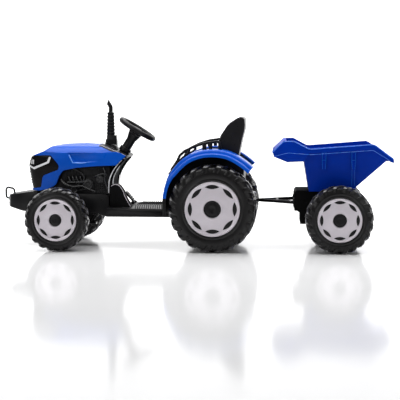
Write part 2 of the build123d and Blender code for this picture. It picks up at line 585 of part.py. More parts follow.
def fender(s, name):
    with BuildPart() as part:
        # raised inner band, outer flange, the step between them, and the turned-down lip
        side_prism(fender_line(BAND_UP, 0, foot=132) + fender_line(BAND_UP, -4, foot=132)[::-1],
                   *sorted((s * 112, s * 188)))
        side_prism(fender_line(BAND_UP, 0, foot=132) + fender_line(0, -4, foot=132)[::-1], *sorted((s * 184, s * 188)))
        side_prism(fender_line(0, 0, foot=132) + fender_line(0, -4, foot=132)[::-1], *sorted((s * 184, s * 222)))
        side_prism(fender_line(0, 0, foot=132) + fender_line(0, -13, foot=132)[::-1], *sorted((s * 218, s * 222)))
    save(part, name)


fender(-1, "left_fender")
fender(1, "right_fender")

CHEEK = [p for p in fender_line(BAND_UP, -4.6, foot=129.3) if p[0] < 180] + [(185, 303), (185, 129.3)]
SEAT_DECK = 290.0
with BuildPart() as rear_housing:
    side_prism(CHEEK, -128, 128)
    # the seat stands in a well between the cheeks
    block(-120, 400, -111.4, 111.4, SEAT_DECK, 500, mode=Mode.SUBTRACT)
    side_prism([p for p in fender_line(BAND_UP, -9, foot=100) if p[0] < 176] + [(181, 300), (181, 100)],
               -124, 124, mode=Mode.SUBTRACT)
    block(-62, 182, -113.4, 113.4, SEAT_DECK - 4, SEAT_DECK)
    wall = [p for p in CHEEK if p[1] > SEAT_DECK - 4]
    for s in (-1, 1):
        side_prism([(wall[0][0], SEAT_DECK - 4)] + wall + [(185, SEAT_DECK - 4)], *sorted((s * 110.4, s * 113.4)))
    # front fairing between the cheeks
    side_prism([(-104.5, 129.3), (-104.5, 205), (-97, 236), (-80, 268), (-60, SEAT_DECK), (-50, SEAT_DECK),
                (-50, SEAT_DECK - 4), (-72, 262), (-88, 232), (-95.5, 204), (-95.5, 129.3)], -111.4, 111.4)
    # bores for the rear axle
    rod((REAR_X, -140, REAR_R), (REAR_X, 140, REAR_R), AXLE_R + FIT, mode=Mode.SUBTRACT)
save(rear_housing, "rear_housing")


def grab_rail(s, name):
    y = s * 150.0
    with BuildPart() as part:
        with BuildLine() as path:
            FilletPolyline((-74, y, 288), (-51, y, 323), (-43, y, 341), (-25, y, 357), (8, y, 373), (43, y, 384),
                           (90, y, 391), (98, y, 388), (103, y, 358), radius=8)
        with BuildSketch(Plane(origin=(-74, y, 288), z_dir=(23, 0, 35))) as section:
            RectangleRounded(9.5, 9.5, 3.5)
        sweep(section.sketch, path=path.line)
        rod((-11, y, 340), (-11, y, 365), 6.0)
        rod((45, y, 355), (45, y, 384), 8.0)
        rod((67, y, 358), (67, y, 387), 7.0)
        # foot strip that follows the fender
        strip_out, strip_in = fender_line(BAND_UP, 7.5, 5, 10), fender_line(BAND_UP, 0.3, 5, 10)
        side_prism(strip_out + strip_in[::-1], *sorted((y - 7, y + 7)))
        # the rail stays clear of the fender below it
        side_prism([(-104, 120)] + fender_line(BAND_UP, 0.3)[1:] + [(211, 120)],
                   *sorted((y - 20, y + 20)), mode=Mode.SUBTRACT)
    save(part, name)


grab_rail(-1, "left_grab_rail")
grab_rail(1, "right_grab_rail")

# ----------------------------------------------------------------------- seat
with BuildPart() as seat:
    side_prism([(-34, 291), (-36, 306), (-33, 318), (-26, 322), (40, 330), (84, 336), (89, 350), (91.5, 388),
                (95.5, 400), (101, 413), (112, 429.5), (122.5, 445.5), (133.5, 457), (148, 466.5), (159, 473.5),
                (171.5, 478.4), (180.5, 475), (186, 470), (187.5, 449), (186.5, 434), (182, 415), (177, 395),
                (172.5, 373), (168, 350), (160, 310), (154, SEAT_DECK + 0.3), (-28, SEAT_DECK + 0.3)], -97, 97)
    # bucket: the pan, the back and the side wings stay
    side_prism([(-60, 312), (-24, 308), (128, 308), (142, 340), (155, 385), (165, 430), (170, 500), (-60, 500)],
               -84, 84, mode=Mode.SUBTRACT)
    side_prism([(-24, 280), (-22, 302), (126, 302), (134, 280)], -90, 90, mode=Mode.SUBTRACT)
save(seat, "seat")

# -------------------------------------------------------- drive and electrics
with BuildPart() as rear_axle:
    rod((REAR_X, -(HALF_TRACK - 8), REAR_R), (REAR_X, HALF_TRACK - 8, REAR_R), AXLE_R)
save(rear_axle, "rear_axle")

with BuildPart() as drive_gearboxes:
    for s in (-1, 1):
        lo, hi = sorted((s * 60, s * 104))
        block(REAR_X - 40, REAR_X + 34, lo, hi, 140, 190)
        rod((REAR_X - 22, s * 82, 188), (REAR_X - 22, s * 82, 244), 19)
        rod((REAR_X, s * 45, REAR_R), (REAR_X, s * 120, REAR_R), AXLE_R + FIT, mode=Mode.SUBTRACT)
save(drive_gearboxes, "drive_gearboxes")

with BuildPart() as battery:
    block(-84, 10, -36, 36, 129.3, 220)
    fillet(battery.edges().filter_by(Axis.Z), 3)
    block(-72, -60, -22, -12, 219, 226)
    block(-72, -60, 12, 22, 219, 226)
save(battery, "battery")

with BuildPart() as control_box:
    block(126, 172, -40, 40, 150, 200)
    fillet(control_box.edges().filter_by(Axis.Z), 3)
    block(125, 127, -10, 10, 160, 180)
save(control_box, "control_box")

with BuildPart() as charging_socket:
    rod((SOCKET_X, 84.1, SOCKET_Z), (SOCKET_X, 86, SOCKET_Z), 12.0)
    rod((SOCKET_X, 69.5, SOCKET_Z), (SOCKET_X, 86, SOCKET_Z), 8.8)
    rod((SOCKET_X, 75, SOCKET_Z), (SOCKET_X, 95, SOCKET_Z), SOCKET_R, mode=Mode.SUBTRACT)
save(charging_socket, "charging_socket")

with BuildPart() as hitch_bracket:
    block(185.2, 189.2, -40, 40, 134, 200)
    for z in (156, 178):
        with BuildSketch(Plane.XY.offset(z)) as ear:
            with BuildLine():
                Polyline((189, -30), (189, 30), (217, 16), (217, -16), close=True)
            make_face()
            with Locations((HITCH[0], 0)):
                Circle(16)
        extrude(ear.sketch, amount=6)
    rod((HITCH[0], 0, 150), (HITCH[0], 0, 190), 5.0 + RUN, mode=Mode.SUBTRACT)
save(hitch_bracket, "hitch_bracket")

with BuildPart() as hitch_pin:
    rod((HITCH[0], 0, 148), (HITCH[0], 0, 186), 5.0)
    rod((HITCH[0], 0, 184.2), (HITCH[0], 0, 190), 10.0)
    rod((HITCH[0] - 9, 0, 198), (HITCH[0] + 9, 0, 198), 3.0)
    rod((HITCH[0] - 9, 0, 198), (HITCH[0] - 9, 0, 187), 3.0)
    rod((HITCH[0] + 9, 0, 198), (HITCH[0] + 9, 0, 187), 3.0)
save(hitch_pin, "hitch_pin")

# ------------------------------------------------------------------- fasteners
with BuildPart() as body_screws:
    for s in (-1, 1):
        for x in (-294, -236):
            rod((x, s * 128, 148.1), (x, s * 128, 150.4), 4.5)
        for x, z in ((-555, 176), (-420, 176), (-335, 176)):
            rod((x, s * 90.1, z), (x, s * 92.6, z), 4.5)
        for x, z in ((-70, 200), (130, 200)):
            rod((x, s * 128.1, z), (x, s * 130.6, z), 4.5)
save(body_screws, "body_screws")

# --------------------------------------------------------------------- trailer
with BuildPart() as trailer_chassis:
    side_prism([(367, 140), (367, 206), (374, 212.4), (552, 212.4), (560, 206), (560, 92), (388, 92), (388, 132),
                (376, 140)], -98, 98)
    side_prism([(371, 144), (371, 205), (376, 208.4), (550, 208.4), (556, 204), (556, 80), (392, 80), (392, 136),
                (378, 144)], -94, 94, mode=Mode.SUBTRACT)
    block(391, 557, -95, 95, 136, 140.5)
    # ears for the tub's hinge pin
    for s in (-1, 1):
        lo, hi = sorted((s * 66, s * 74))
        side_prism([(557.6, 188), (557.6, 203), (566, 211), (575, 215), (585, 209), (585, 200), (575, 194)], lo, hi)
    rod((TIP_X, -90, TIP_Z), (TIP_X, 90, TIP_Z), 4.0 + FIT, mode=Mode.SUBTRACT)
    rod((TRAIL_X, -110, TRAIL_R), (TRAIL_X, 110, TRAIL_R), AXLE_R + FIT, mode=Mode.SUBTRACT)
    # ribs across the front beam
    for y in (-60, -20, 20, 60):
        block(364.5, 367.5, y - 3, y + 3, 146, 200)
save(trailer_chassis, "trailer_chassis")

with BuildPart() as drawbar:
    with BuildSketch(Plane.XY.offset(164)) as eye:
        with Locations((HITCH[0], 0)):
            Circle(14.5)
        with BuildLine():
            Polyline((HITCH[0], -8), (248, -8), (248, 8), (HITCH[0], 8), close=True)
        make_face()
        with Locations((HITCH[0], 0)):
            Circle(5.0 + RUN, mode=Mode.SUBTRACT)
    extrude(eye.sketch, amount=12)
    for s in (-1, 1):
        rod((241, s * 3, 170), (363.2, s * 83.3, 170), 6.5)
        block(362.5, 366.8, *sorted((s * 70, s * 97)), 156, 184)
    rod((305, -42, 170), (305, 42, 170), 5)
save(drawbar, "drawbar")

with BuildPart() as trailer_axle:
    rod((TRAIL_X, -(HALF_TRACK - 8), TRAIL_R), (TRAIL_X, HALF_TRACK - 8, TRAIL_R), AXLE_R)
save(trailer_axle, "trailer_axle")

with BuildPart() as tub_hinge_pin:
    rod((TIP_X, -78, TIP_Z), (TIP_X, 78, TIP_Z), 4.0)
    for s in (-1, 1):
        rod((TIP_X, s * 74.2, TIP_Z), (TIP_X, s * 79, TIP_Z), 7.0)
save(tub_hinge_pin, "tub_hinge_pin")

# The tub is a tapered hopper under a flared rim band. The band runs forward
# into a spill guard over the drawbar, and back to a pouring lip.
BAND_TOP = [(287, 357), (326, 394), (364, 395), (413, 368.5), (424, 367), (640, 384), (650, 380), (712, 334)]
BAND_FOOT = [(715.7, 318), (704, 320), (655, 361), (634, 365), (417, 351), (400, 322), (340, 319), (293, 338)]
with BuildPart() as tub_space:
    side_prism([(397.8, 430), (397.8, 326.2), (404.3, 326.2), (421.8, 217), (564.4, 217), (685.5, 326.2), (698, 332.5),
                (730, 342), (730, 430)], -200, 200)
    front_prism([(-127, 205), (-145.5, 370), (-145.5, 440), (145.5, 440), (145.5, 370), (127, 205)], 380, 740,
                mode=Mode.INTERSECT)
with BuildPart() as tub:
    side_prism([(398, 352), (400, 322), (418, 213), (566, 213), (688, 322.5), (702, 324), (656, 363), (640, 366)], -150, 150)
    front_prism([(-132, 205), (-150, 370), (150, 370), (132, 205)], 280, 720, mode=Mode.INTERSECT)
    side_prism(BAND_TOP + BAND_FOOT, -168, 168)
    # ribs pressed out of the flanks
    for s in (-1, 1):
        for x in (470, 574):
            side_prism([(x - 9, 357), (x - 9, 322), (x - 6, 292), (x + 6, 292), (x + 9, 322), (x + 9, 357)],
                       *sorted((s * 130.0, s * 152.5)))
    # load space, and the wider space inside the band
    add(tub_space.part, mode=Mode.SUBTRACT)
    side_prism([(293.5, 349.5), (343.5, 401.5), (343.5, 430), (730, 430), (730, 342), (709, 337), (704.5, 328),
                (657.6, 364.7), (634, 369.2), (414.5, 355.3), (397.8, 326.2), (341.5, 323.2), (297.5, 341)],
               -163.5, 163.5, mode=Mode.SUBTRACT)
    # hinge lugs under the slope
    for s in (-1, 1):
        side_prism([(563, 214.5), (588, 235.5), (588, 204), (582, 195), (570, 195), (564, 203)],
                   *sorted((s * 52, s * 62)))
    rod((TIP_X, -90, TIP_Z), (TIP_X, 90, TIP_Z), 4.0 + RUN, mode=Mode.SUBTRACT)
save(tub, "tub")

boxes = [p.bounding_box() for p in made.values()]
lo = [min(getattr(b.min, k) for b in boxes) for k in "XYZ"]
hi = [max(getattr(b.max, k) for b in boxes) for k in "XYZ"]
print("nodes", len(made), "low", [round(v, 2) for v in lo], "high", [round(v, 2) for v in hi])
for name, p in made.items():
    if len(p.solids()) != 1:
        print("solids", name, len(p.solids()))
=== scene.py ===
"""Looks of the ride-on tractor and its tipping trailer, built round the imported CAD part."""

import json
import math

import bmesh
import bpy
import numpy as np
from mathutils import Matrix, Vector

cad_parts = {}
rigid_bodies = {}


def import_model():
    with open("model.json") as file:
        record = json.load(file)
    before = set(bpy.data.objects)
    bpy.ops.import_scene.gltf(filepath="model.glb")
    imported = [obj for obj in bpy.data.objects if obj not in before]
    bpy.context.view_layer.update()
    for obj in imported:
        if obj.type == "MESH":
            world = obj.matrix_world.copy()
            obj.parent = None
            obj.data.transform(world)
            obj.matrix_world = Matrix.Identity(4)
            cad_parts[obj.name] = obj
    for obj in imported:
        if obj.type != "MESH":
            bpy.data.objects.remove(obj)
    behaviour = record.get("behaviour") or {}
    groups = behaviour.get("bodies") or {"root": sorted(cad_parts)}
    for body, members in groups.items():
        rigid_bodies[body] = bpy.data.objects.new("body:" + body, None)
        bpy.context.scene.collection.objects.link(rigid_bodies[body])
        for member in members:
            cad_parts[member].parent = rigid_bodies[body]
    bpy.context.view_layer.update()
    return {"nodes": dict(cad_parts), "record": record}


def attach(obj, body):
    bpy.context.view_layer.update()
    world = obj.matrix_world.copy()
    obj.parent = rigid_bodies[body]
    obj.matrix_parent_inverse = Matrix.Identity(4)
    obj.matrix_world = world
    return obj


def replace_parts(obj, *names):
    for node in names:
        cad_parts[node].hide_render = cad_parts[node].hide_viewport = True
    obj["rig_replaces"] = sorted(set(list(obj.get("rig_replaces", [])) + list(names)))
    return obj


bpy.ops.object.select_all(action="SELECT")
bpy.ops.object.delete()
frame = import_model()
NODES = frame["nodes"]
MM = 0.001
RNG = np.random.default_rng(7)

# ------------------------------------------------------------------- materials


def srgb(r, g, b):
    def f(v):
        v = v / 255.0
        return v / 12.92 if v <= 0.04045 else ((v + 0.055) / 1.055) ** 2.4

    return (f(r), f(g), f(b), 1.0)


def material(name, colour, rough, metallic=0.0, coat=0.0, coat_rough=0.06, spec=0.5, scale=60.0, colour_var=0.06,
             rough_var=0.08, bump=0.03, grain=900.0, grain_bump=0.0, dust=0.0, pattern=None, pattern_scale=200.0,
             transmission=0.0, emission=0.0):
    """Principled finish with uneven colour and roughness, faint waviness and, if asked, grain or a pattern."""
    m = bpy.data.materials.new(name)
    m.use_nodes = True
    nt = m.node_tree
    nt.nodes.clear()
    out = nt.nodes.new("ShaderNodeOutputMaterial")
    b = nt.nodes.new("ShaderNodeBsdfPrincipled")
    nt.links.new(b.outputs["BSDF"], out.inputs["Surface"])
    b.inputs["Metallic"].default_value = metallic
    b.inputs["Coat Weight"].default_value = coat
    b.inputs["Coat Roughness"].default_value = coat_rough
    b.inputs["Specular IOR Level"].default_value = spec
    if transmission:
        b.inputs["Transmission Weight"].default_value = transmission
    if emission:
        b.inputs["Emission Color"].default_value = (1, 1, 1, 1)
        b.inputs["Emission Strength"].default_value = emission
    geo = nt.nodes.new("ShaderNodeTexCoord")
    n1 = nt.nodes.new("ShaderNodeTexNoise")
    n1.inputs["Scale"].default_value = scale
    n1.inputs["Detail"].default_value = 6.0
    n1.inputs["Roughness"].default_value = 0.6
    nt.links.new(geo.outputs["Object"], n1.inputs["Vector"])
    # colour
    ramp = nt.nodes.new("ShaderNodeValToRGB")
    lo_c = tuple(max(0.0, c * (1 - colour_var)) for c in colour[:3]) + (1.0,)
    hi_c = tuple(min(1.0, c * (1 + colour_var)) for c in colour[:3]) + (1.0,)
    ramp.color_ramp.elements[0].position, ramp.color_ramp.elements[1].position = 0.3, 0.7
    ramp.color_ramp.elements[0].color, ramp.color_ramp.elements[1].color = lo_c, hi_c
    nt.links.new(n1.outputs["Fac"], ramp.inputs["Fac"])
    last = ramp.outputs["Color"]
    if dust:
        # pale dust lies on the faces that look up
        nrm = nt.nodes.new("ShaderNodeNewGeometry")
        sep = nt.nodes.new("ShaderNodeSeparateXYZ")
        nt.links.new(nrm.outputs["Normal"], sep.inputs["Vector"])
        up = nt.nodes.new("ShaderNodeMapRange")
        up.inputs["From Min"].default_value, up.inputs["From Max"].default_value = 0.1, 1.0
        up.inputs["To Min"].default_value, up.inputs["To Max"].default_value = 0.0, dust
        nt.links.new(sep.outputs["Z"], up.inputs["Value"])
        n3 = nt.nodes.new("ShaderNodeTexNoise")
        n3.inputs["Scale"].default_value = scale * 5
        n3.inputs["Detail"].default_value = 8.0
        nt.links.new(geo.outputs["Object"], n3.inputs["Vector"])
        mul = nt.nodes.new("ShaderNodeMath")
        mul.operation = "MULTIPLY"
        nt.links.new(up.outputs["Result"], mul.inputs[0])
        nt.links.new(n3.outputs["Fac"], mul.inputs[1])
        mix = nt.nodes.new("ShaderNodeMix")
        mix.data_type = "RGBA"
        nt.links.new(mul.outputs["Value"], mix.inputs["Factor"])
        nt.links.new(last, mix.inputs["A"])
        mix.inputs["B"].default_value = (0.32, 0.31, 0.30, 1)
        last = mix.outputs["Result"]
    nt.links.new(last, b.inputs["Base Color"])
    # roughness
    rr = nt.nodes.new("ShaderNodeMapRange")
    rr.inputs["To Min"].default_value = max(0.02, rough - rough_var)
    rr.inputs["To Max"].default_value = min(1.0, rough + rough_var)
    n2 = nt.nodes.new("ShaderNodeTexNoise")
    n2.inputs["Scale"].default_value = scale * 2.3
    n2.inputs["Detail"].default_value = 4.0
    nt.links.new(geo.outputs["Object"], n2.inputs["Vector"])
    nt.links.new(n2.outputs["Fac"], rr.inputs["Value"])
    nt.links.new(rr.outputs["Result"], b.inputs["Roughness"])
    # relief: slow waves, then grain or a pattern
    bump_node = nt.nodes.new("ShaderNodeBump")
    bump_node.inputs["Strength"].default_value = bump
    bump_node.inputs["Distance"].default_value = 0.002
    nt.links.new(n1.outputs["Fac"], bump_node.inputs["Height"])
    normal = bump_node.outputs["Normal"]
    if grain_bump:
        g = nt.nodes.new("ShaderNodeTexNoise")
        g.inputs["Scale"].default_value = grain
        g.inputs["Detail"].default_value = 2.0
        nt.links.new(geo.outputs["Object"], g.inputs["Vector"])
        gb = nt.nodes.new("ShaderNodeBump")
        gb.inputs["Strength"].default_value = grain_bump
        gb.inputs["Distance"].default_value = 0.0006
        nt.links.new(g.outputs["Fac"], gb.inputs["Height"])
        nt.links.new(normal, gb.inputs["Normal"])
        normal = gb.outputs["Normal"]
    if pattern == "mesh":
        v = nt.nodes.new("ShaderNodeTexVoronoi")
        v.feature = "DISTANCE_TO_EDGE"
        v.inputs["Scale"].default_value = pattern_scale
        v.inputs["Randomness"].default_value = 0.15
        nt.links.new(geo.outputs["Object"], v.inputs["Vector"])
        vb = nt.nodes.new("ShaderNodeBump")
        vb.inputs["Strength"].default_value = 0.25
        vb.inputs["Distance"].default_value = 0.0015
        nt.links.new(v.outputs["Distance"], vb.inputs["Height"])
        nt.links.new(normal, vb.inputs["Normal"])
        normal = vb.outputs["Normal"]
    if pattern == "brush":
        w = nt.nodes.new("ShaderNodeTexWave")
        w.inputs["Scale"].default_value = pattern_scale
        w.inputs["Distortion"].default_value = 3.0
        w.inputs["Detail"].default_value = 3.0
        nt.links.new(geo.outputs["Object"], w.inputs["Vector"])
        wb = nt.nodes.new("ShaderNodeBump")
        wb.inputs["Strength"].default_value = 0.12
        wb.inputs["Distance"].default_value = 0.0003
        nt.links.new(w.outputs["Fac"], wb.inputs["Height"])
        nt.links.new(normal, wb.inputs["Normal"])
        normal = wb.outputs["Normal"]
    nt.links.new(normal, b.inputs["Normal"])
    return m


BLUE = material("blue_gloss", srgb(0, 76, 182), 0.30, coat=0.22, coat_rough=0.14, spec=0.10, scale=14, colour_var=0.05, bump=0.05)
BLUE_TUB = material("blue_tub", srgb(0, 44, 150), 0.42, coat=0.03, coat_rough=0.2, spec=0.03, scale=10, colour_var=0.08, bump=0.07,
                    grain=1600, grain_bump=0.05)
BLACK = material("black_plastic", srgb(13, 13, 15), 0.38, spec=0.20, scale=40, colour_var=0.2, bump=0.06, grain=1400, grain_bump=0.12, dust=0.03)
BLACK_GLOSS = material("black_gloss", srgb(12, 9, 10), 0.22, coat=0.08, spec=0.14, scale=30, colour_var=0.2, bump=0.02, pattern="mesh",
                       pattern_scale=170)
SEAT = material("seat_plastic", srgb(15, 14, 17), 0.30, spec=0.40, scale=36, colour_var=0.2, bump=0.05, grain=2200, grain_bump=0.25, dust=0.03)
TREAD = material("tread_plastic", srgb(12, 11, 12), 0.32, spec=0.28, scale=50, colour_var=0.25, bump=0.12, grain=700, grain_bump=0.15, dust=0.05)
SILVER = material("silver_plastic", srgb(196, 190, 197), 0.34, metallic=0.1, coat=0.15, scale=45, colour_var=0.03, bump=0.05,
                  grain=2600, grain_bump=0.05)
LENS = material("lens_dark", srgb(7, 6, 9), 0.06, coat=0.25, coat_rough=0.02, spec=0.35, scale=20, colour_var=0.2, bump=0.02)
LAMP = material("lamp_white", srgb(224, 224, 228), 0.20, coat=0.4, scale=40, colour_var=0.03, bump=0.02)
DARK = material("dark_steel", srgb(24, 24, 26), 0.34, metallic=0.4, scale=90, colour_var=0.15, bump=0.05, grain=1800, grain_bump=0.1)
ZINC = material("zinc_steel", srgb(170, 170, 176), 0.32, metallic=1.0, scale=80, colour_var=0.12, bump=0.05, pattern="brush",
                pattern_scale=140)
BATTERY = material("battery_case", srgb(86, 88, 92), 0.5, scale=60, colour_var=0.1, bump=0.05, grain=1500, grain_bump=0.2)
NICKEL = material("socket_nickel", srgb(172, 168, 160), 0.28, metallic=1.0, scale=90, colour_var=0.08, bump=0.04)
# lighter blue for the tub's rolled edge, crease line and end rims: painted highlight, not the tub's own blue
EDGE = material("blue_edge_painted_highlight", srgb(46, 108, 214), 0.28, coat=0.4, coat_rough=0.1, scale=20, colour_var=0.04, bump=0.03)
# lighter blue for the hood's flutes: painted highlight
FLUTE_HIGHLIGHT = material("blue_flute_painted_highlight", srgb(88, 146, 236), 0.28, coat=0.4, coat_rough=0.1, scale=20, colour_var=0.04, bump=0.03)
MATTE = material("black_matte", srgb(11, 11, 12), 0.72, spec=0.05, scale=50, colour_var=0.2, bump=0.05, grain=1500, grain_bump=0.2)
# lighter, glossier grey for the tyre lugs' faces: the grey is a painted highlight
LUG_HIGHLIGHT = material("lug_painted_highlight", srgb(54, 53, 56), 0.28, spec=0.6, coat=0.2, scale=50, colour_var=0.25, bump=0.1, grain=700,
               grain_bump=0.12, dust=0.05)
# glossier black plastic for the engine relief, in a lighter grey than the black plastic: the grey is a painted
# highlight
ENGINE_HIGHLIGHT = material("engine_plastic_painted_highlight", srgb(24, 24, 26), 0.26, spec=0.55, scale=60, colour_var=0.2, bump=0.06, grain=1500, grain_bump=0.1)
SLOT_MAT = {"blue_gloss": BLUE, "blue_tub": BLUE_TUB, "black_plastic": BLACK, "black_gloss": BLACK_GLOSS,
            "seat_plastic": SEAT, "tread_plastic": TREAD, "silver_plastic": SILVER, "lens_dark": LENS,
            "lamp_white": LAMP, "dark_steel": DARK, "zinc_steel": ZINC, "battery_case": BATTERY,
            "socket_nickel": NICKEL}
NODE_SLOT = {s["node"]: s["material_slot"] for s in frame["record"]["subparts"]}
NODE_SLOT = {n: k if k in SLOT_MAT else "black_plastic" for n, k in NODE_SLOT.items()}

# ------------------------------------------------------------------ mesh tools


def make(name, verts_mm, faces, body, slot, mats=None, face_mat=None, angle=38, replaces=()):
    """Mesh in millimetres that rides on a body and takes its finish from a slot."""
    me = bpy.data.meshes.new(name)
    me.from_pydata([tuple(float(c) * MM for c in v) for v in verts_mm], [], [tuple(f) for f in faces])
    me.validate()
    for m in mats or [SLOT_MAT[slot]]:
        me.materials.append(m)
    if face_mat is not None:
        for p, k in zip(me.polygons, face_mat):
            p.material_index = int(k)
    bm = bmesh.new()
    bm.from_mesh(me)
    bmesh.ops.remove_doubles(bm, verts=bm.verts, dist=1e-6)
    bmesh.ops.recalc_face_normals(bm, faces=bm.faces)
    bm.to_mesh(me)
    bm.free()
    o = bpy.data.objects.new(name, me)
    bpy.context.collection.objects.link(o)
    shade(o, angle)
    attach(o, body)
    if replaces:
        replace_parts(o, *replaces)
    return o


def shade(o, angle=38):
    me = o.data
    me.polygons.foreach_set("use_smooth", [True] * len(me.polygons))
    me.set_sharp_from_angle(angle=math.radians(angle))
    me.update()


def bevel(o, width_mm=0.8, segments=2, angle=35):
    b = o.modifiers.new("edge", "BEVEL")
    b.width = width_mm * MM
    b.segments = segments
    b.limit_method = "ANGLE"
    b.angle_limit = math.radians(angle)
    b.harden_normals = True
    b.use_clamp_overlap = True
    return o


def bake_mods(o):
    """Applies the modifiers, so the mesh is plain."""
    dg = bpy.context.evaluated_depsgraph_get()
    me = bpy.data.meshes.new_from_object(o.evaluated_get(dg), preserve_all_data_layers=True, depsgraph=dg)
    o.modifiers.clear()
    o.data = me
    return o


def grid_faces(nu, nv, close_u=False, close_v=False):
    """Quads of a grid whose vertices are stored u-major: index = u * nv + v."""
    out = []
    for u in range(nu if close_u else nu - 1):
        for v in range(nv if close_v else nv - 1):
            a, b = u * nv + v, u * nv + (v + 1) % nv
            c, d = ((u + 1) % nu) * nv + (v + 1) % nv, ((u + 1) % nu) * nv + v
            out.append((a, b, c, d))
    return out


def smooth_line(points, step=3.0, closed=False):
    """Catmull-Rom through the points, sampled about every step mm."""
    p = [np.array(q, float) for q in points]
    n = len(p)
    out = []
    for i in range(n if closed else n - 1):
        p1, p2 = p[i], p[(i + 1) % n]
        p0 = p[i - 1] if (i > 0 or closed) else 2 * p1 - p2
        p3 = p[(i + 2) % n] if (i + 2 < n or closed) else 2 * p2 - p1
        k = max(1, int(round(np.linalg.norm(p2 - p1) / step)))
        # centripetal parameters keep the curve from overshooting
        t = [0.0]
        for a, b in ((p0, p1), (p1, p2), (p2, p3)):
            t.append(t[-1] + max(np.linalg.norm(b - a), 1e-6) ** 0.5)
        for j in range(k):
            s = t[1] + (t[2] - t[1]) * j / k
            a1 = (t[1] - s) / (t[1] - t[0]) * p0 + (s - t[0]) / (t[1] - t[0]) * p1
            a2 = (t[2] - s) / (t[2] - t[1]) * p1 + (s - t[1]) / (t[2] - t[1]) * p2
            a3 = (t[3] - s) / (t[3] - t[2]) * p2 + (s - t[2]) / (t[3] - t[2]) * p3
            b1 = (t[2] - s) / (t[2] - t[0]) * a1 + (s - t[0]) / (t[2] - t[0]) * a2
            b2 = (t[3] - s) / (t[3] - t[1]) * a2 + (s - t[1]) / (t[3] - t[1]) * a3
            out.append((t[2] - s) / (t[2] - t[1]) * b1 + (s - t[1]) / (t[2] - t[1]) * b2)
    if not closed:
        out.append(p[-1])
    return np.array(out)


def round_corners(points, radius, steps=4, closed=True):
    """Polygon with each corner replaced by a short arc."""
    p = [np.array(q, float) for q in points]
    n, out = len(p), []
    rad = radius if isinstance(radius, (list, tuple)) else [radius] * n
    for i in range(n):
        if not closed and i in (0, n - 1):
            out.append(p[i])
            continue
        a, b, c = p[i - 1], p[i], p[(i + 1) % n]
        u, v = a - b, c - b
        lu, lv = np.linalg.norm(u), np.linalg.norm(v)
        r = min(rad[i], 0.45 * lu, 0.45 * lv)
        if r < 0.05:
            out.append(b)
            continue
        s, e = b + u / lu * r, b + v / lv * r
        for j in range(steps + 1):
            t = j / steps
            out.append((1 - t) ** 2 * s + 2 * t * (1 - t) * b + t ** 2 * e)
    return out


def prism(name, pts_xz, y0, y1, body, slot, axis="y", **kw):
    """Closed outline carried along an axis; pts are (x, z) for y, (x, y) for z, (y, z) for x."""
    put = {"y": lambda p, t: (p[0], t, p[1]), "z": lambda p, t: (p[0], p[1], t), "x": lambda p, t: (t, p[0], p[1])}[axis]
    n = len(pts_xz)
    verts = [put(p, y0) for p in pts_xz] + [put(p, y1) for p in pts_xz]
    faces = [tuple(range(n)), tuple(range(2 * n - 1, n - 1, -1))]
    faces += [(i, (i + 1) % n, n + (i + 1) % n, n + i) for i in range(n)]
    return make(name, verts, faces, body, slot, **kw)


def cutter(pts_xz, y0, y1, axis="y"):
    """A throwaway prism used to cut other meshes."""
    put = {"y": lambda p, t: (p[0], t, p[1]), "z": lambda p, t: (p[0], p[1], t), "x": lambda p, t: (t, p[0], p[1])}[axis]
    n = len(pts_xz)
    verts = [put(p, y0) for p in pts_xz] + [put(p, y1) for p in pts_xz]
    faces = [tuple(range(n)), tuple(range(2 * n - 1, n - 1, -1))]
    faces += [(i, (i + 1) % n, n + (i + 1) % n, n + i) for i in range(n)]
    me = bpy.data.meshes.new("cutter")
    me.from_pydata([tuple(c * MM for c in v) for v in verts], [], faces)
    bm = bmesh.new()
    bm.from_mesh(me)
    bmesh.ops.recalc_face_normals(bm, faces=bm.faces)
    bmesh.ops.triangulate(bm, faces=bm.faces)
    bm.to_mesh(me)
    bm.free()
    o = bpy.data.objects.new("cutter", me)
    bpy.context.collection.objects.link(o)
    return o


def cut(o, *cutters, keep=False):
    """Boolean difference, or the common volume if keep is set; the cutters go."""
    for c in cutters:
        m = o.modifiers.new("cut", "BOOLEAN")
        m.operation = "INTERSECT" if keep else "DIFFERENCE"
        m.solver = "EXACT"
        m.object = c
    bake_mods(o)
    for c in cutters:
        bpy.data.objects.remove(c)
    return o


def lathe_y(profile, cx, cz, seg=96):
    """(r, y) outline turned round the line (cx, *, cz) along y; returns vertices and faces."""
    verts, n = [], len(profile)
    for i in range(seg):
        a = 2 * math.pi * i / seg
        for r, y in profile:
            verts.append((cx + r * math.cos(a), y, cz + r * math.sin(a)))
    return verts, grid_faces(seg, n, close_u=True, close_v=True)


def tube(path, radius, seg=12, cap=True, squash=(1.0, 1.0), power=2.0):
    """Round or squarish bar along a path, as vertices and faces."""
    path = np.array(path, float)
    n = len(path)
    tang = np.gradient(path, axis=0)
    tang /= np.linalg.norm(tang, axis=1)[:, None]
    ref = np.array([0, 1.0, 0]) if abs(tang[0][1]) < 0.9 else np.array([1.0, 0, 0])
    verts = []
    rad = radius if hasattr(radius, "__len__") else [radius] * n
    for i in range(n):
        side = ref - tang[i] * np.dot(ref, tang[i])
        side /= np.linalg.norm(side)
        up = np.cross(tang[i], side)
        for k in range(seg):
            a = 2 * math.pi * (k + 0.5) / seg
            c, s = math.cos(a), math.sin(a)
            c, s = math.copysign(abs(c) ** (2 / power), c), math.copysign(abs(s) ** (2 / power), s)
            verts.append(path[i] + rad[i] * (c * side * squash[0] + s * up * squash[1]))
        ref = side
    faces = grid_faces(n, seg, close_v=True)
    if cap:
        faces += [tuple(range(seg - 1, -1, -1)), tuple(range((n - 1) * seg, n * seg))]
    return [tuple(v) for v in verts], faces


def join(*parts):
    """Joins (verts, faces) pairs."""
    verts, faces = [], []
    for v, f in parts:
        k = len(verts)
        verts += list(v)
        faces += [tuple(i + k for i in q) for q in f]
    return verts, faces

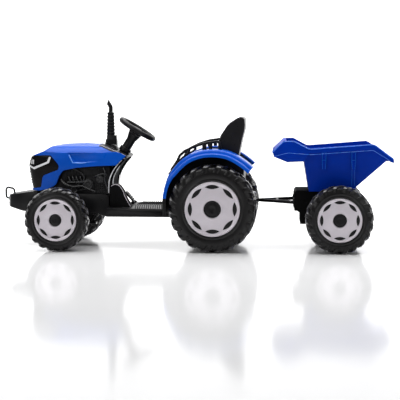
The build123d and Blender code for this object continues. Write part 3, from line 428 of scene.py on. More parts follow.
# ---------------------------------------------------------------------- wheels
FACE_Y = 237.0
WHEELS = {  # tag: x, radius, width, hubcap radius, cap radius, lug end share
    "front": (-480.0, 113.5, 78.0, 75.3, 22.0, 0.865),
    "rear": (78.0, 156.0, 100.0, 97.3, 30.5, 0.825),
    "trailer": (524.0, 119.5, 82.0, 78.0, 24.0, 0.815),
}
LUGS = 20


def tyre_mesh(x, r, w, rim, end, s):
    """Blow-moulded tyre: stepped sidewall, round shoulders, two rows of swept lugs."""
    e = end
    prof = [
        (6.4, 10.5), (rim + 1, 10.5), (rim + 1, 4.5), (rim + 2, 2.6), (rim + 4, 1.6), (rim + 7.5, 1.6), (rim + 9, 2.6),
        (rim + 10.5, 2.9), (rim + 12, 2.2), ((e - 0.03) * r, 1.9), ((e - 0.01) * r, 2.4), ((e + 0.03) * r, 4.2),
        (max(0.915, e + 0.045) * r, 7.5), (0.942 * r, 13), (0.955 * r, 24),
        (0.955 * r, w - 24), (0.942 * r, w - 13), (0.915 * r, w - 7.5), (0.85 * r, w - 5.5), (0.80 * r, w - 2),
        (0.72 * r, w - 1), (0.71 * r, w - 5), (0.80 * r, w - 6), (0.86 * r, w - 16), (0.86 * r, 18), (0.80 * r, 8),
        (rim + 6, 7), (rim + 4.5, 15), (20, 15), (20, w - 4.5), (6.4, w - 4.5),
    ]
    base = lathe_y([(a, s * (FACE_Y - b)) for a, b in prof], x, r, seg=120)
    top = [(w / 2 + 1.5, 1.0), (w / 2 - 9, 1.0), (22, 1.0), (14, 0.995), (9, 0.982), (5, 0.955), (2.4, 0.92), (1.0, e + 0.035),
           (0.4, e + 0.005)]
    low = [(w / 2 + 1.5, 0.90), (w / 2 - 9, 0.90), (27, 0.90), (21, 0.895), (17, 0.885), (13, 0.87), (10, 0.855), (8, e + 0.0),
           (6, e - 0.02)]
    swp = [0.0, 0.035, 0.085, 0.115, 0.145, 0.175, 0.20, 0.225, 0.235]
    wid = [0.050, 0.053, 0.058, 0.062, 0.066, 0.070, 0.072, 0.070, 0.058]
    parts = [base]
    for i in range(LUGS):
        for row in (0, 1):
            a0 = 2 * math.pi * (i + 0.5 * row) / LUGS
            verts = []
            for (dt, rt), (dl, rl), sw, hw in zip(top, low, swp, wid):
                for f, blend_in in ((-1.35, 0.0), (-1.0, 0.82), (-0.72, 1.0), (0.72, 1.0), (1.0, 0.82), (1.35, 0.0)):
                    d = dl + (dt - dl) * blend_in
                    rr = (rl + (rt - rl) * blend_in) * r
                    a = a0 + sw + f * hw
                    dd = d if row == 0 else w - d
                    verts.append((x + rr * math.cos(a), s * (FACE_Y - dd), r + rr * math.sin(a)))
            n = len(top)
            faces = grid_faces(n, 6, close_v=True) + [tuple(range(5, -1, -1)), tuple(range((n - 1) * 6, n * 6))]
            parts.append((verts, faces))
    return join(*parts)


def hubcap_mesh(x, r, rim, cap, s):
    prof = [(cap + 0.3, 9.4), (cap + 0.3, 3.6), (cap + 1.5, 2.6), (cap + 4, 2.4), (cap + 6, 3.4), (0.45 * rim, 4.0),
            (0.60 * rim, 5.0), (0.68 * rim, 5.8), (0.74 * rim, 5.9), (0.86 * rim, 5.4), (0.905 * rim, 4.8), (0.925 * rim, 3.2),
            (0.94 * rim, 2.2), (0.965 * rim, 1.7), (0.985 * rim, 2.1), (rim - 0.1, 3.4), (rim - 0.1, 9.4)]
    return lathe_y([(a, s * (FACE_Y - b)) for a, b in prof], x, r, seg=144)


def lens_outline(x, r, rim, k):
    a = math.radians(45.0 * k + 90.0 + 0.37)
    u, t = (math.cos(a), math.sin(a)), (-math.sin(a), math.cos(a))
    pts = []
    for i in range(13):
        f = -1 + 2 * i / 12
        pts.append((0.80 * rim + 0.092 * rim * (1 - f * f), f * 0.265 * rim))
    for i in range(1, 12):
        f = 1 - 2 * i / 12
        pts.append((0.80 * rim - 0.068 * rim * (1 - f * f), f * 0.265 * rim))
    return [(x + a_ * u[0] + b_ * t[0], r + a_ * u[1] + b_ * t[1]) for a_, b_ in pts]


for tag, (wx, wr, ww, rim, cap, end) in WHEELS.items():
    for side, s in (("left", -1), ("right", 1)):
        body = f"{tag}_{side}_wheel"
        v, f = tyre_mesh(wx, wr, ww, rim, end, s)
        tyre = make(f"{tag}_{side}_tread_and_wall", v, f, body, "tread_plastic", mats=[TREAD, LUG_HIGHLIGHT], angle=34,
                    replaces=[f"{tag}_{side}_tyre"])
        # the lugs' outer faces get a glossier finish and a lighter grey than the carcass; the grey is a painted
        # highlight where the light from above catches the tread
        for p in tyre.data.polygons:
            if math.hypot(p.center.x - wx * MM, p.center.z - wr * MM) > 0.957 * wr * MM:
                p.material_index = 1
        v, f = hubcap_mesh(wx, wr, rim, cap, s)
        disc = make(f"{tag}_{side}_wheel_disc", v, f, body, "silver_plastic", angle=40, replaces=[f"{tag}_{side}_hubcap"])
        cut(disc, *[cutter(lens_outline(wx, wr, rim, k), *sorted((s * 225, s * 240))) for k in range(8)])
        shade(disc, 40)
        bevel(disc, 0.5, 2, 40)
        prof = [(0.0, 2.9), (0.30 * cap, 2.9), (0.36 * cap, 1.6), (0.44 * cap, 1.3), (0.70 * cap, 1.1), (0.78 * cap, 2.2),
                (0.86 * cap, 2.2), (0.92 * cap, 1.3), (0.975 * cap, 2.4), (0.985 * cap, 9.2), (0.0, 9.2)]
        v, f = lathe_y([(a, s * (FACE_Y - b)) for a, b in prof], wx, wr, seg=64)
        make(f"{tag}_{side}_cap_cover", v, f, body, "black_plastic", angle=40, replaces=[f"{tag}_{side}_cap"])

# ------------------------------------------------------------------------ hood
ZT = np.array([(-640, 296), (-617, 306), (-608, 317), (-600, 331), (-575, 342), (-548, 352.5), (-536, 361), (-523, 369.5),
               (-500, 373.5), (-479, 376), (-430, 379), (-395, 380), (-376, 377.5), (-336, 376), (-290, 356.6), (-244, 337),
               (-230, 331)])
ZF = np.array([(0, 382), (28, 381.5), (34, 379), (39, 375.2), (50, 374), (66, 371), (82, 362), (92, 354), (97, 348), (101, 343)])
LEAN_NOSE = np.array([(190, 24), (200, 20), (235, 10.5), (267, 4.6), (285, 1.6), (296, 0.6), (304, 1.6), (312, 4.5), (320, 9)])
LEAN_SIDE = np.array([(190, 4), (200, 3.4), (250, 1.4), (300, 0.2), (325, 0.8), (345, 3.0)])


def table_at(tab, v):
    return float(np.interp(v, tab[:, 0], tab[:, 1]))


def smin(a, b, k=5.0):
    h = max(k - abs(a - b), 0.0) / k
    return min(a, b) - h * h * k * 0.25


def top_height(x, y):
    return smin(table_at(ZT, x), table_at(ZF, abs(y)), 6.0)


def ramp(v, a, b):
    t = min(1.0, max(0.0, (v - a) / (b - a)))
    return t * t * (3 - 2 * t)


def scoop_depth(x, z):
    """How far the flank is pressed in at (x, z)."""
    if x < -470 or x > -320 or z < 300 or z > 350:
        return 0.0
    # height of the scoop's lower edge at x
    if x < -431:
        zl = 311 + (-431 - x) * (26.0 / 22.0)
    else:
        zl = 311 + max(0.0, x + 395) * 0.05
    inside = ramp(z - zl, 0.0, 3.2) * ramp(344.5 - z, 0.0, 5.0)
    along = 1 - ramp(x, -425, -335)
    return 8.0 * inside * along


def hood_surface(depth=0.0, z_low=196.0):
    """The hood's outer skin as (verts, faces), pushed in by depth mm."""
    half = smooth_line([(-235, -96.5), (-280, -99.5), (-330, -101), (-415, -101.4), (-500, -101), (-545, -96.6), (-566, -92),
                        (-588, -84), (-604, -72), (-612, -58), (-615.6, -40), (-616.8, -20), (-617, 0)], 3.2)
    nrm = np.gradient(half, axis=0)
    nrm = np.stack([nrm[:, 1], -nrm[:, 0]], axis=1)
    nrm /= np.linalg.norm(nrm, axis=1)[:, None]
    if nrm[0][1] > 0:
        nrm = -nrm
    nx2 = np.clip(nrm[:, 0] ** 2, 0, 1)
    rows_w, rows_t = 56, 26
    cols = []
    for i, (px, py) in enumerate(half):
        col = []
        spine_x = max(px, -556.0)

        def inward(dist):
            vx, vy = spine_x - px, -py
            ln = math.hypot(vx, vy) or 1.0
            return px + vx / ln * dist, py + vy / ln * dist, ln

        qx, qy, ln = inward(4.0)
        ze = top_height(qx, qy)
        for k in range(rows_w + 1):
            z = z_low + (ze - 7.0 - z_low) * k / rows_w
            lean = nx2[i] * table_at(LEAN_NOSE, z) + (1 - nx2[i]) * table_at(LEAN_SIDE, z)
            if i < len(half) * 0.75:
                lean += scoop_depth(px, z) * (1 - nx2[i])
            col.append((px - nrm[i][0] * lean, py - nrm[i][1] * lean, z))
        last = col[-1]
        lx, ly = last[0], last[1]
        # rounded edge, then over the top to the spine
        bx, by, _ = inward(4.0 + nx2[i] * 6)
        zb = top_height(bx, by)
        for t in (0.3, 0.6, 0.85):
            a = t * math.pi / 2
            col.append((lx + (bx - lx) * (1 - math.cos(a)), ly + (by - ly) * (1 - math.cos(a)),
                        last[2] + (zb - last[2]) * math.sin(a)))
        start = 4.0 + nx2[i] * 6
        for k in range(rows_t + 1):
            q = k / rows_t
            dist = start + (ln - start) * q
            tx, ty, _ = inward(dist)
            if k == rows_t:
                tx, ty = spine_x, 0.0
            col.append((tx, ty, top_height(tx, ty)))
        cols.append(col)
    nv = len(cols[0])
    left = [p for c in cols for p in c]
    faces_l = grid_faces(len(cols), nv)
    right = [(p[0], -p[1], p[2]) for p in left]
    verts, faces = join((left, faces_l), (right, [tuple(reversed(q)) for q in faces_l]))
    if depth:
        me = bpy.data.meshes.new("tmp")
        me.from_pydata(verts, [], faces)
        bm = bmesh.new()
        bm.from_mesh(me)
        bmesh.ops.remove_doubles(bm, verts=bm.verts, dist=0.02)
        bmesh.ops.recalc_face_normals(bm, faces=bm.faces)
        bm.normal_update()
        zmean = sum(v.normal.z for v in bm.verts)
        sign = 1 if zmean > 0 else -1
        verts = [tuple(v.co - sign * v.normal * depth) for v in bm.verts]
        bm.verts.index_update()
        faces = [tuple(v.index for v in q.verts) for q in bm.faces]
        bm.free()
        bpy.data.meshes.remove(me)
    return verts, faces


def in_poly(poly, x, z):
    hit = False
    for i in range(len(poly)):
        (x0, z0), (x1, z1) = poly[i - 1][:2], poly[i][:2]
        if (z0 > z) != (z1 > z) and x < x0 + (z - z0) / (z1 - z0) * (x1 - x0):
            hit = not hit
    return hit


def split_along(bm, poly, reach=6.0):
    """Adds edges to the mesh where a side-view polygon's outline crosses it."""
    for i in range(len(poly)):
        (x0, z0), (x1, z1) = poly[i - 1][:2], poly[i][:2]
        if math.hypot(x1 - x0, z1 - z0) < 1e-6:
            continue
        ax, bx, az, bz = min(x0, x1) - reach, max(x0, x1) + reach, min(z0, z1) - reach, max(z0, z1) + reach
        near = [q for q in bm.faces if any(ax <= v.co.x <= bx and az <= v.co.z <= bz for v in q.verts)]
        geom = list(near) + list({e for q in near for e in q.edges}) + list({v for q in near for v in q.verts})
        bmesh.ops.bisect_plane(bm, geom=geom, dist=1e-5, plane_co=(x0, 0, z0), plane_no=(z1 - z0, 0, -(x1 - x0)))


def shell(name, depth, thick, body, slot, keep=None, away=(), across=None, replaces=(), angle=32, mats=None):
    """A piece of the hood's skin: the faces inside keep and outside every away, each a (polygon, half width)."""
    v, f = hood_surface(depth)
    me = bpy.data.meshes.new("skin")
    me.from_pydata(v, [], f)
    bm = bmesh.new()
    bm.from_mesh(me)
    bpy.data.meshes.remove(me)
    bmesh.ops.remove_doubles(bm, verts=bm.verts, dist=0.02)
    for poly, half in ([(keep, None)] if keep else []) + list(away):
        split_along(bm, poly)
        if half is not None:
            for y in (-half, half):
                near = [q for q in bm.faces if any(abs(w.co.y - y) < 8 for w in q.verts)]
                geom = list(near) + list({e for q in near for e in q.edges}) + list({w for q in near for w in q.verts})
                bmesh.ops.bisect_plane(bm, geom=geom, dist=1e-5, plane_co=(0, y, 0), plane_no=(0, 1, 0))
    if across is not None:
        for y in across:
            bmesh.ops.bisect_plane(bm, geom=list(bm.faces) + list(bm.edges) + list(bm.verts), dist=1e-5,
                                   plane_co=(0, y, 0), plane_no=(0, 1, 0))
    drop = []
    for q in bm.faces:
        c = q.calc_center_median()
        gone = keep is not None and not in_poly(keep, c.x, c.z)
        for poly, half in away:
            if in_poly(poly, c.x, c.z) and (half is None or abs(c.y) < half):
                gone = True
        if across is not None and not across[0] < c.y < across[1]:
            gone = True
        if gone:
            drop.append(q)
    bmesh.ops.delete(bm, geom=drop, context="FACES")
    bmesh.ops.dissolve_degenerate(bm, dist=0.01, edges=bm.edges)
    bm.verts.index_update()
    v = [tuple(w.co) for w in bm.verts]
    f = [tuple(w.index for w in q.verts) for q in bm.faces]
    bm.free()
    o = make(name, v, f, body, slot, mats=mats, angle=angle, replaces=replaces)
    # the skin's normals point out of the hood before it gets its wall
    middle = Vector((-0.43, 0.0, 0.26))
    out = sum((q.center - middle).dot(q.normal) * q.area for q in o.data.polygons)
    if out < 0:
        o.data.flip_normals()
    so = o.modifiers.new("wall", "SOLIDIFY")
    so.thickness = thick * MM
    so.offset = -1.0
    so.use_even_offset = False
    bake_mods(o)
    shade(o, angle)
    return o


FACE_REGION = [(-640, 334), (-522, 338), (-491, 301), (-493, 285), (-552, 262), (-560, 219), (-600, 214), (-640, 214)]
FACE_KEEP = [(-640, 333.5), (-522.3, 337.5), (-491.5, 301), (-493.5, 285.4), (-552.4, 262.4), (-560.4, 219.4), (-600, 214.4),
             (-640, 214.4)]
LENS_REGION = [(-640, 328), (-528, 331), (-535, 314), (-588, 293), (-604, 300), (-640, 300)]
STRIP_REGION = [(-528, 331), (-521, 331), (-528, 309), (-586, 285), (-606, 294), (-640, 294), (-640, 299.8), (-604, 299.8),
                (-588, 292.8), (-535.3, 313.8)]
UNDER_HOOD = [(-700, 150), (-700, 207), (-568, 207), (-540, 212), (-503, 229), (-491, 262), (-476, 282), (-428, 292),
              (-350, 299), (-283, 301), (-244, 337), (-230, 337), (-220, 337), (-220, 150)]
DASH_CUT = [(-347.4, 368), (-337.4, 367.4), (-242.5, 327.4), (-225, 318), (-200, 318), (-200, 420), (-347.4, 420)]

hood = shell("hood_shell", 0.0, 4.0, "tractor", "blue_gloss",
             away=[(round_corners(UNDER_HOOD, [2, 6, 6, 8, 10, 8, 8, 10, 10, 3, 0, 0, 0, 0]), None),
                   (round_corners(FACE_REGION, [0, 6, 8, 5, 9, 6, 0, 0]), None),
                   (DASH_CUT, 94.8), ([(-240, 150), (-200, 150), (-200, 337), (-240, 337)], None)],
             replaces=["hood"])
bevel(hood, 0.7, 2, 50)
face = shell("front_face", 2.0, 4.0, "tractor", "black_gloss",
             keep=round_corners(FACE_KEEP, [0, 6, 8, 5, 9, 6, 0, 0]), replaces=["grille_panel"])
bevel(face, 0.7, 2, 50)
lens_left = shell("headlight_cover_left", 0.9, 1.2, "tractor", "lens_dark", keep=round_corners(LENS_REGION, [0, 2, 3, 3, 3, 0]),
                  across=(-140, -26))
lens_right = shell("headlight_cover_right", 0.9, 1.2, "tractor", "lens_dark", keep=round_corners(LENS_REGION, [0, 2, 3, 3, 3, 0]),
                   across=(26, 140))
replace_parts(lens_left, "headlight_lenses")
strip = shell("light_guide", 0.1, 2.0, "tractor", "lamp_white", keep=STRIP_REGION, replaces=["light_strips"])
for i, (x, y0, y1) in enumerate(((-597.5, -140, 0), (-590.5, -140, 0), (-597.5, 0, 140), (-590.5, 0, 140))):
    shell(f"lamp_bar_{i + 1}", 0.4, 1.0, "tractor", "lamp_white", keep=[(x, 304), (x + 3.4, 304), (x + 3.4, 320), (x, 320)],
          across=(y0, y1))
# raised flutes on the hood's flanks, in a lighter blue than the hood: painted highlight
for i, across in enumerate(((-140, 0), (0, 140))):
    shell(f"hood_flute_painted_highlight_{i + 1}", -0.9, 2.2, "tractor", "blue_gloss",
          keep=[(-455, 339), (-451.5, 339), (-438, 312.5), (-405, 311.0), (-372, 314.6), (-405, 307.8), (-440.5, 308.8)], across=across,
          mats=[FLUTE_HIGHLIGHT])
# slatted intake in the lower half of the face, each slat a bent bar that follows the nose
for i in range(6):
    z = 224 + i * 9.5
    shell(f"intake_slat_{i + 1}", 0.9, 2.0, "tractor", "black_plastic", keep=[(-640, z), (-585, z), (-585, z + 3.6), (-640, z + 3.6)],
          across=(-60, 60))

# --------------------------------------------------------------------- fenders
FLANGE = [(-100, 132), (-100, 165), (-99.5, 196), (-93.5, 226), (-84.5, 250), (-75, 267), (-58, 286.5), (-40.2, 305.5),
          (-22.6, 321), (-5.1, 332.5), (12.5, 340.4), (30.1, 346), (47.5, 349.5), (65.2, 351), (82.7, 351),
          (100.3, 349.7), (118, 346.8), (135.5, 341.6), (153, 333.6), (170.6, 323.2), (191.7, 308), (211, 291)]
RISE = [0.15, 0.15, 0.15, 0.2, 0.3, 0.4, 0.6, 0.8, 0.95] + [1.0] * 13
LINE = smooth_line(FLANGE, 4.0)
SHARE = np.interp(np.linspace(0, 1, len(LINE)), np.linspace(0, 1, len(RISE)), RISE)
TANG = np.gradient(LINE, axis=0)
TANG /= np.linalg.norm(TANG, axis=1)[:, None]


def off_line(i, up, grow):
    d = 13.0 * SHARE[i] * up + grow
    return LINE[i][0] - d * TANG[i][1], LINE[i][1] + d * TANG[i][0]


SECTION = [(112.2, 1, -6.5), (112.2, 1, -2.2), (113.2, 1, -0.7), (115.5, 1, -0.1), (130, 1, -0.1), (160, 1, -0.3), (174, 1, -0.6),
           (180, 1, -1.3), (184, 1, -3.0), (186.5, 0.72, -2.4), (188.5, 0.34, -1.6), (190.5, 0.06, -1.3), (193.5, 0, -0.9),
           (200, 0, -0.2), (210, 0, -0.1), (216, 0, -0.5), (219.4, 0, -1.6), (221.2, 0, -3.6), (221.9, 0, -6.4), (222, 0, -9.5),
           (222, 0, -12.8)]
for side, s in (("left", -1), ("right", 1)):
    verts = []
    for i in range(len(LINE)):
        for y, up, grow in SECTION:
            x, z = off_line(i, up, grow)
            verts.append((x, s * y, z))
    faces = grid_faces(len(LINE), len(SECTION))
    dark = [1 if verts[q[0]][2] < 190 else 0 for q in faces]
    fender = make(f"{side}_fender_skin", verts, faces, "tractor", "blue_gloss", mats=[BLUE, BLACK], face_mat=dark, angle=50,
                  replaces=[f"{side}_fender"])
    me = fender.data
    up_sum = sum(p.normal.z * p.area for p in me.polygons)
    so = fender.modifiers.new("wall", "SOLIDIFY")
    so.thickness = 3.2 * MM
    so.offset = -1.0 if up_sum > 0 else 1.0
    so.use_rim = True
    bake_mods(fender)
    shade(fender, 50)
    bevel(fender, 0.6, 2, 60)

# ------------------------------------------------------------------------ seat
SEAT_OUT = [(-34, 291), (-36, 306), (-33, 318), (-26, 322), (40, 330), (84, 336), (89, 350), (91.5, 388), (95.5, 400),
            (101, 413), (112, 429.5), (122.5, 445.5), (133.5, 457), (148, 466.5), (159, 473.5), (171.5, 478.2), (180.5, 475),
            (186, 470), (187.5, 449), (186.5, 434), (182, 415), (177, 395), (172.5, 373), (168, 350), (160, 310),
            (154, 290.4), (-28, 290.4)]
SEAT_IN = [(-80, 312), (-24, 308), (128, 308), (142, 340), (155, 385), (165, 430), (170, 520), (-80, 520)]
rad = [5, 5, 6, 8, 0, 16, 10, 0, 0, 0, 0, 0, 0, 0, 0, 8, 8, 8, 0, 0, 0, 0, 0, 0, 0, 4, 4]
seat = prism("seat_shell", round_corners(SEAT_OUT, rad, 5), -97, 97, "tractor", "seat_plastic", angle=40, replaces=["seat"])
seat.modifiers.new("round", "BEVEL").width = 4.2 * MM
seat.modifiers["round"].segments = 4
seat.modifiers["round"].limit_method = "ANGLE"
seat.modifiers["round"].angle_limit = math.radians(60)
bake_mods(seat)
cut(seat, cutter(round_corners(SEAT_IN, [0, 3, 16, 0, 0, 0, 0, 0], 6), -84, 84),
    cutter([(-24, 280), (-22, 302), (126, 302), (134, 280)], -90, 90))
shade(seat, 32)
bevel(seat, 1.6, 3, 50)


def pad(name, path, half, grooves, across, thick=3.4):
    """Padded liner that follows a side-view path, with pressed grooves."""
    line = smooth_line(path, 2.6)
    t = np.gradient(line, axis=0)
    t /= np.linalg.norm(t, axis=1)[:, None]
    length = np.concatenate([[0], np.cumsum(np.linalg.norm(np.diff(line, axis=0), axis=1))])
    total = length[-1]
    ys = np.linspace(-half, half, 65)
    verts = []
    for i, (x, z) in enumerate(line):
        u = length[i] / total
        for y in ys:
            v = abs(y) / half
            edge = min(1.0, (min(length[i], total - length[i])) / 7.0) ** 0.5 * min(1.0, (half - abs(y)) / 7.0 + 1e-9) ** 0.5
            if across:
                ph = (u * grooves) % 1.0
                gr = math.exp(-(((ph - 0.5) * total / grooves) / 2.2) ** 2) if v < 0.86 else 0.0
            else:
                gr = sum(math.exp(-((y - c) / 2.2) ** 2) for c in np.linspace(-half * 0.6, half * 0.6, grooves)) if 0.1 < u < 0.9 else 0
            h = -1.4 + (thick + 1.4) * edge - 2.2 * gr * edge
            verts.append((x - h * t[i][1], y, z + h * t[i][0]))
    return make(name, verts, grid_faces(len(line), len(ys)), "tractor", "seat_plastic", angle=60)


pad("seat_back_liner", [(137, 330), (142, 342), (149, 364), (155, 386), (160, 408), (164.5, 430), (166.5, 452)], 74, 5, True)
pad("seat_base_liner", [(-22, 308.2), (10, 308.2), (60, 308.1), (112, 308.1)], 76, 4, False)

# ----------------------------------------------------------- tub and its edges
TUB_TOP = [(287, 357), (326, 394), (364, 395), (413, 368.5), (424, 367), (640, 384), (650, 380), (712, 334)]
# the tub's rolled edge bead, the crease line below it and the rims at both ends, drawn in a lighter blue: painted
# highlight along them
edge_highlight_tubes = []
for s in (-1, 1):
    path = [(x + (1.5 if i == 0 else -1.5 if i == len(TUB_TOP) - 1 else 0), s * 166.9, z - 1.9)
            for i, (x, z) in enumerate(TUB_TOP)]
    edge_highlight_tubes.append(tube(round_corners(path, 9, 5, closed=False), 2.0, seg=12))
    ridge = [(296, s * 168.0, 340.5), (343, s * 168.0, 352), (408, s * 168.0, 347), (424, s * 168.0, 346), (641, s * 168.0, 362),
             (701, s * 168.0, 325)]
    edge_highlight_tubes.append(tube(round_corners(ridge, 6, 4, closed=False), 1.0, seg=8))
edge_highlight_tubes.append(tube([(288.4, -164, 354.4), (288.4, 0, 354.4), (288.4, 164, 354.4)], 2.4, seg=12))
edge_highlight_tubes.append(tube([(710.5, -164, 331.8), (710.5, 0, 331.8), (710.5, 164, 331.8)], 2.4, seg=12))
v, f = join(*edge_highlight_tubes)
make("tub_edge_painted_highlight", v, f, "tipper", "blue_tub", mats=[EDGE], angle=60)
# ribs on the tub's flanks in the hood's lighter blue instead of the tub's blue: painted highlight along them
ribs = []
for s in (-1, 1):
    for x in (470, 574):
        for dx in (-6.6, 6.6):
            ribs.append(tube([(x + dx, s * 152.4, 354), (x + dx, s * 152.4, 322), (x + dx * 0.7, s * 152.4, 294)], 1.5, seg=8))
        for z in (353.5, 326):
            ribs.append(tube([(x - 6.6, s * 152.4, z), (x + 6.6, s * 152.4, z)], 1.5, seg=8))
    for dx in (-4.6, 4.6):
        ribs.append(tube([(574 + dx, s * (132 + 18 * (z - 205) / 165), z) for z in (291, 262, 234)], 1.4, seg=8))
v, f = join(*ribs)
make("tub_ribs_painted_highlight", v, f, "tipper", "blue_tub", mats=[BLUE], angle=60)
# stiffening swages pressed into the floor of the load space
parts = []
for y in (-78, -39, 0, 39, 78):
    parts.append(tube([(432, y, 216.9), (440, y, 217.6), (545, y, 217.6), (553, y, 216.9)], 3.2, seg=10, squash=(1.0, 0.6)))
v, f = join(*parts)
make("tub_floor_swages", v, f, "tipper", "blue_tub", angle=60)

# ------------------------------------------------- engine relief, and painted highlight lines on the firewall's rims
for side, s in (("left", -1), ("right", 1)):
    def sy(path):
        return [(x, s * y, z) for x, y, z in path]

    def disc(x, z, prof):
        return lathe_y([(r, s * y) for r, y in prof], x, z, seg=40)

    # hoses, pulleys, belt and fins take the lightened engine grey: painted highlight on the relief
    hoses = [
        tube(smooth_line(sy([(-486, 86, 248), (-470, 92, 232), (-440, 95, 222), (-408, 94, 224), (-386, 92, 214), (-360, 90, 204)]), 5), 4.2),
        tube(smooth_line(sy([(-330, 86, 292), (-322, 92, 276), (-324, 94, 252), (-318, 93, 226), (-312, 88, 206)]), 5), 3.4),
        tube(smooth_line(sy([(-466, 87, 292), (-440, 92, 289), (-415, 93, 276), (-400, 92, 258), (-404, 90, 240)]), 5), 3.0),
        tube(smooth_line(sy([(-372, 86, 256), (-356, 91, 262), (-336, 92, 270), (-316, 88, 268)]), 5), 2.6),
    ]
    for k in range(4):
        hoses.append(tube(smooth_line(sy([(-458 + k * 14, 86, 262), (-456 + k * 14, 93, 258), (-452 + k * 14, 95, 248),
                                          (-448 + k * 14, 93, 240)]), 4), 3.1))
    hoses.append(tube(smooth_line(sy([(-462, 92, 238.5), (-430, 94, 238), (-398, 93, 240), (-384, 90, 246)]), 5), 3.8))
    v, f = join(*hoses)
    make(f"{side}_engine_hoses", v, f, "tractor", "black_plastic", mats=[ENGINE_HIGHLIGHT], angle=60)
    pulleys = [
        disc(-386, 232, [(0, 95.5), (5, 95.5), (5, 93.5), (12, 92.4), (16.5, 93.8), (18.5, 93.8), (18.5, 91.6), (16.6, 90.2),
                         (18.5, 88.8), (18.5, 86.5), (0, 86.5)]),
        disc(-438, 213, [(0, 92.5), (3.5, 92.5), (4, 91.2), (9, 90.6), (11.5, 91.6), (11.5, 90.0), (10.2, 89.0), (11.5, 88.0), (11.5, 85.5),
                         (0, 85.5)]),
        disc(-342, 250, [(0, 95.0), (6, 95.0), (8, 93.6), (13.6, 93.6), (14.2, 92.6), (14.2, 85), (0, 85)]),
    ]
    for bx, bz in ((-398, 284), (-346, 284), (-324, 284), (-398, 267), (-324, 267)):
        pulleys.append(lathe_y([(0, s * 89.4), (2.2, s * 89.4), (3.2, s * 88.6), (3.2, s * 85.5), (0, s * 85.5)], bx, bz, seg=6))
    v, f = join(*pulleys)
    make(f"{side}_pulleys_and_filter", v, f, "tractor", "black_plastic", mats=[ENGINE_HIGHLIGHT], angle=35)
    # drive belt over the two pulleys, a closed loop
    loop = []
    for cx, cz, rr, a0, a1 in ((-386, 232, 17.6, -110, 72), (-438, 213, 11.0, 72, 250)):
        for k in range(13):
            a = math.radians(a0 + (a1 - a0) * k / 12)
            loop.append((cx + rr * math.cos(a), s * 90.0, cz + rr * math.sin(a)))
    loop.append(loop[0])
    v, f = tube(np.array(loop), 1.5, seg=8)
    make(f"{side}_drive_belt", v, f, "tractor", "black_plastic", mats=[ENGINE_HIGHLIGHT], angle=60)
    fins = []
    for k in range(7):
        x0 = -366 + k * 7.4
        fins.append(([(x0, s * 84, 200), (x0 + 2.6, s * 84, 200), (x0 + 2.6, s * 84, 236), (x0, s * 84, 236),
                      (x0 + 0.5, s * 89.5, 202), (x0 + 2.1, s * 89.5, 202), (x0 + 2.1, s * 89.5, 233), (x0 + 0.5, s * 89.5, 233)],
                     [(0, 1, 2, 3), (7, 6, 5, 4), (0, 4, 5, 1), (1, 5, 6, 2), (2, 6, 7, 3), (3, 7, 4, 0)]))
    v, f = join(*fins)
    if s < 0:
        bevel(make(f"{side}_sump_fins", v, f, "tractor", "black_plastic", mats=[ENGINE_HIGHLIGHT], angle=30), 0.4)
    # white tubes along the firewall's two rims: painted highlight where the black rims catch the light
    firewall_rim_highlights = [
        tube(smooth_line(sy([(-250, 90, 327), (-267, 90.5, 313), (-287, 90.5, 289), (-299, 90.5, 268), (-306.5, 90.5, 248),
                             (-309, 90.5, 226), (-309, 90.5, 200)]), 5), 2.2, squash=(0.8, 1.0)),
        tube(smooth_line(sy([(-268, 89.5, 300), (-277, 90, 286), (-286, 90.5, 270), (-292, 90.5, 252), (-294, 90.5, 230),
                             (-294, 90.5, 210)]), 5), 1.4),
    ]
    v, f = join(*firewall_rim_highlights)
    make(f"{side}_firewall_painted_highlight", v, f, "tractor", "silver_plastic", mats=[LAMP], angle=60)
    # silver line along the toe guard's edge: painted highlight
    v, f = tube(smooth_line(sy([(-298, 111.0, 226), (-290, 111.3, 231), (-278, 111.3, 232.6), (-266.5, 111.3, 227), (-255, 111.3, 211),
                                (-246.5, 111.3, 188), (-233, 111.3, 163), (-226, 111, 151.5)]), 4), 1.3)
    if s < 0:
        make("toe_guard_painted_highlight", v, f, "tractor", "silver_plastic", angle=60)

# grip ribs on the foot wells, a little proud of the moulded ones
for side, s in (("left", -1), ("right", 1)):
    parts = []
    for i in range(13):
        x = -217 + i * 8.0
        y0, y1 = s * 20, s * 134
        b = [(x - 3.4, y0), (x + 0.4, y0), (x + 12.4, y1), (x + 8.6, y1)]
        t = [(x - 2.7, y0 + s), (x - 0.3, y0 + s), (x + 11.7, y1 - s), (x + 9.3, y1 - s)]
        parts.append(([(p[0], p[1], 149.2) for p in b] + [(p[0], p[1], 150.9) for p in t],
                      [(0, 1, 2, 3), (7, 6, 5, 4), (0, 4, 5, 1), (1, 5, 6, 2), (2, 6, 7, 3), (3, 7, 4, 0)]))
    v, f = join(*parts)
    make(f"{side}_grip_ribs", v, f, "tractor", "black_plastic", mats=[MATTE], angle=30)

# raised louvre rings round the exhaust stack
rings = []
for k in range(7):
    z = 411 + k * 12.4
    cone = 14.5 + (11.5 - 14.5) * (z - 406) / 86.0
    prof = [(cone - 1.5, z), (cone + 0.6, z + 0.3), (cone + 1.5, z + 1.6), (cone + 1.5, z + 5.0), (cone + 0.4, z + 6.6),
            (cone - 1.5, z + 6.9)]
    n = len(prof)
    verts = []
    for i in range(48):
        a = 2 * math.pi * i / 48
        verts += [(-321 + r * math.cos(a), 48 + r * math.sin(a), h) for r, h in prof]
    rings.append((verts, grid_faces(48, n, close_u=True, close_v=True)))
v, f = join(*rings)
make("exhaust_louvre_rings", v, f, "tractor", "black_plastic", angle=40)

# pale trim line round the dashboard's edge, its silver also a painted highlight on the edge
edge = []
for s in (-1, 1):
    edge.append(tube([(-345.5, s * 93.2, 375.2), (-337, s * 93.2, 375.0), (-300, s * 93.2, 359.6), (-246, s * 92.2, 336.8)], 0.8, seg=8))
v, f = join(*edge)
make("dashboard_trim_and_highlight", v, f, "tractor", "silver_plastic", angle=60)

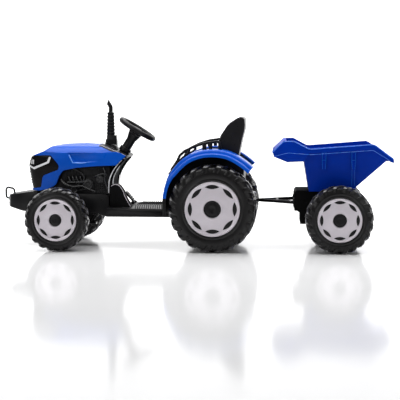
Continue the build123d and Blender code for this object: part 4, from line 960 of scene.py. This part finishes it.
# ------------------------------------------------------------ the CAD's own nodes
stood_for = {n for o in bpy.data.objects for n in list(o.get("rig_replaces", []))}
BEVEL_MM = {"tub": 2.2, "steering_wheel": 2.0, "front_bumper": 1.6, "chassis": 1.2, "trailer_chassis": 1.6, "rear_housing": 1.0,
            "footboard": 0.8, "dashboard": 1.0, "steering_column": 1.2, "engine_block": 0.8, "exhaust_stack": 0.8, "hitch_pin": 0.6,
            "left_grab_rail": 0.8, "right_grab_rail": 0.8, "battery": 1.0, "control_box": 1.0}
for n, o in NODES.items():
    if n in stood_for:
        continue
    o.data.materials.clear()
    o.data.materials.append(MATTE if n in ("firewall", "trailer_chassis") else SLOT_MAT[NODE_SLOT[n]])
    shade(o, 32)
    w = o.modifiers.new("weld", "WELD")
    w.merge_threshold = 1e-5
    bevel(o, BEVEL_MM.get(n, 0.5), 3 if BEVEL_MM.get(n, 0.5) > 1.1 else 2, 30)

# ----------------------------------------------------------------------- studio
# the floor runs on far behind into a bright backdrop, beyond where any view's camera stands
pts = [(-16.0, 0.0), (1.7, 0.0), (12.0, 0.0), (12.8, 0.25), (13.2, 0.9), (13.2, 9.0)]
me = bpy.data.meshes.new("floor")
me.from_pydata([(x, y, z) for y, z in pts for x in (-18.0, 18.0)], [], [(2 * i, 2 * i + 1, 2 * i + 3, 2 * i + 2) for i in range(len(pts) - 1)])
floor = bpy.data.objects.new("floor", me)
bpy.context.collection.objects.link(floor)
floor_mat = material("studio_floor", (0.86, 0.86, 0.865, 1.0), 0.11, spec=0.32, scale=3.0, colour_var=0.01, rough_var=0.03,
                     bump=0.0)
back_mat = material("studio_backdrop", (0.86, 0.86, 0.865, 1.0), 0.6, spec=0.1, scale=3.0, colour_var=0.01, rough_var=0.03,
                    bump=0.0, emission=1.0)
me.materials.append(floor_mat)
me.materials.append(back_mat)
for p in me.polygons:
    p.material_index = 0 if p.center.y < 1.0 else 1


def area(name, at, target, size, size_y, power):
    d = bpy.data.lights.new(name, "AREA")
    d.shape, d.size, d.size_y, d.energy = "RECTANGLE", size, size_y, power
    o = bpy.data.objects.new(name, d)
    bpy.context.collection.objects.link(o)
    o.location = at
    o.rotation_mode = "QUATERNION"
    o.rotation_quaternion = (Vector(target) - Vector(at)).to_track_quat("-Z", "Y")
    return o


area("overhead", (0.1, -0.3, 2.4), (0.1, 0.0, 0.0), 3.6, 1.4, 72)
area("key", (-2.2, -2.9, 1.7), (0.0, 0.0, 0.25), 1.6, 1.4, 30)
area("fill", (2.4, -3.2, 1.3), (0.1, 0.0, 0.2), 1.8, 1.4, 16)
area("rim", (0.3, 1.3, 2.2), (0.0, 0.1, 0.3), 3.0, 0.8, 40)
area("backdrop", (0.0, 0.9, 3.2), (0.0, 3.2, 0.0), 6.0, 0.8, 90)
world = bpy.data.worlds.new("studio")
bpy.context.scene.world = world
world.use_nodes = True
world.node_tree.nodes["Background"].inputs["Color"].default_value = (1.0, 1.0, 1.0, 1.0)
world.node_tree.nodes["Background"].inputs["Strength"].default_value = 0.12
bpy.context.scene.view_settings.view_transform = "Standard"

cam = bpy.data.objects.new("camera", bpy.data.cameras.new("camera"))
bpy.context.collection.objects.link(cam)
cam.data.lens, cam.data.sensor_width = 100.6, 36.0
cam.location = (0.3147, -4.129, 0.540)
yaw = math.atan(79.7 / 1111.0)
pitch = math.atan(100.1 / math.hypot(1111.0, 81.0))
look = Vector((-math.sin(yaw) * math.cos(pitch), math.cos(yaw) * math.cos(pitch), -math.sin(pitch)))
cam.rotation_mode = "QUATERNION"
cam.rotation_quaternion = look.to_track_quat("-Z", "Y")
cam.data.clip_start, cam.data.clip_end = 0.05, 50.0
bpy.context.scene.camera = cam
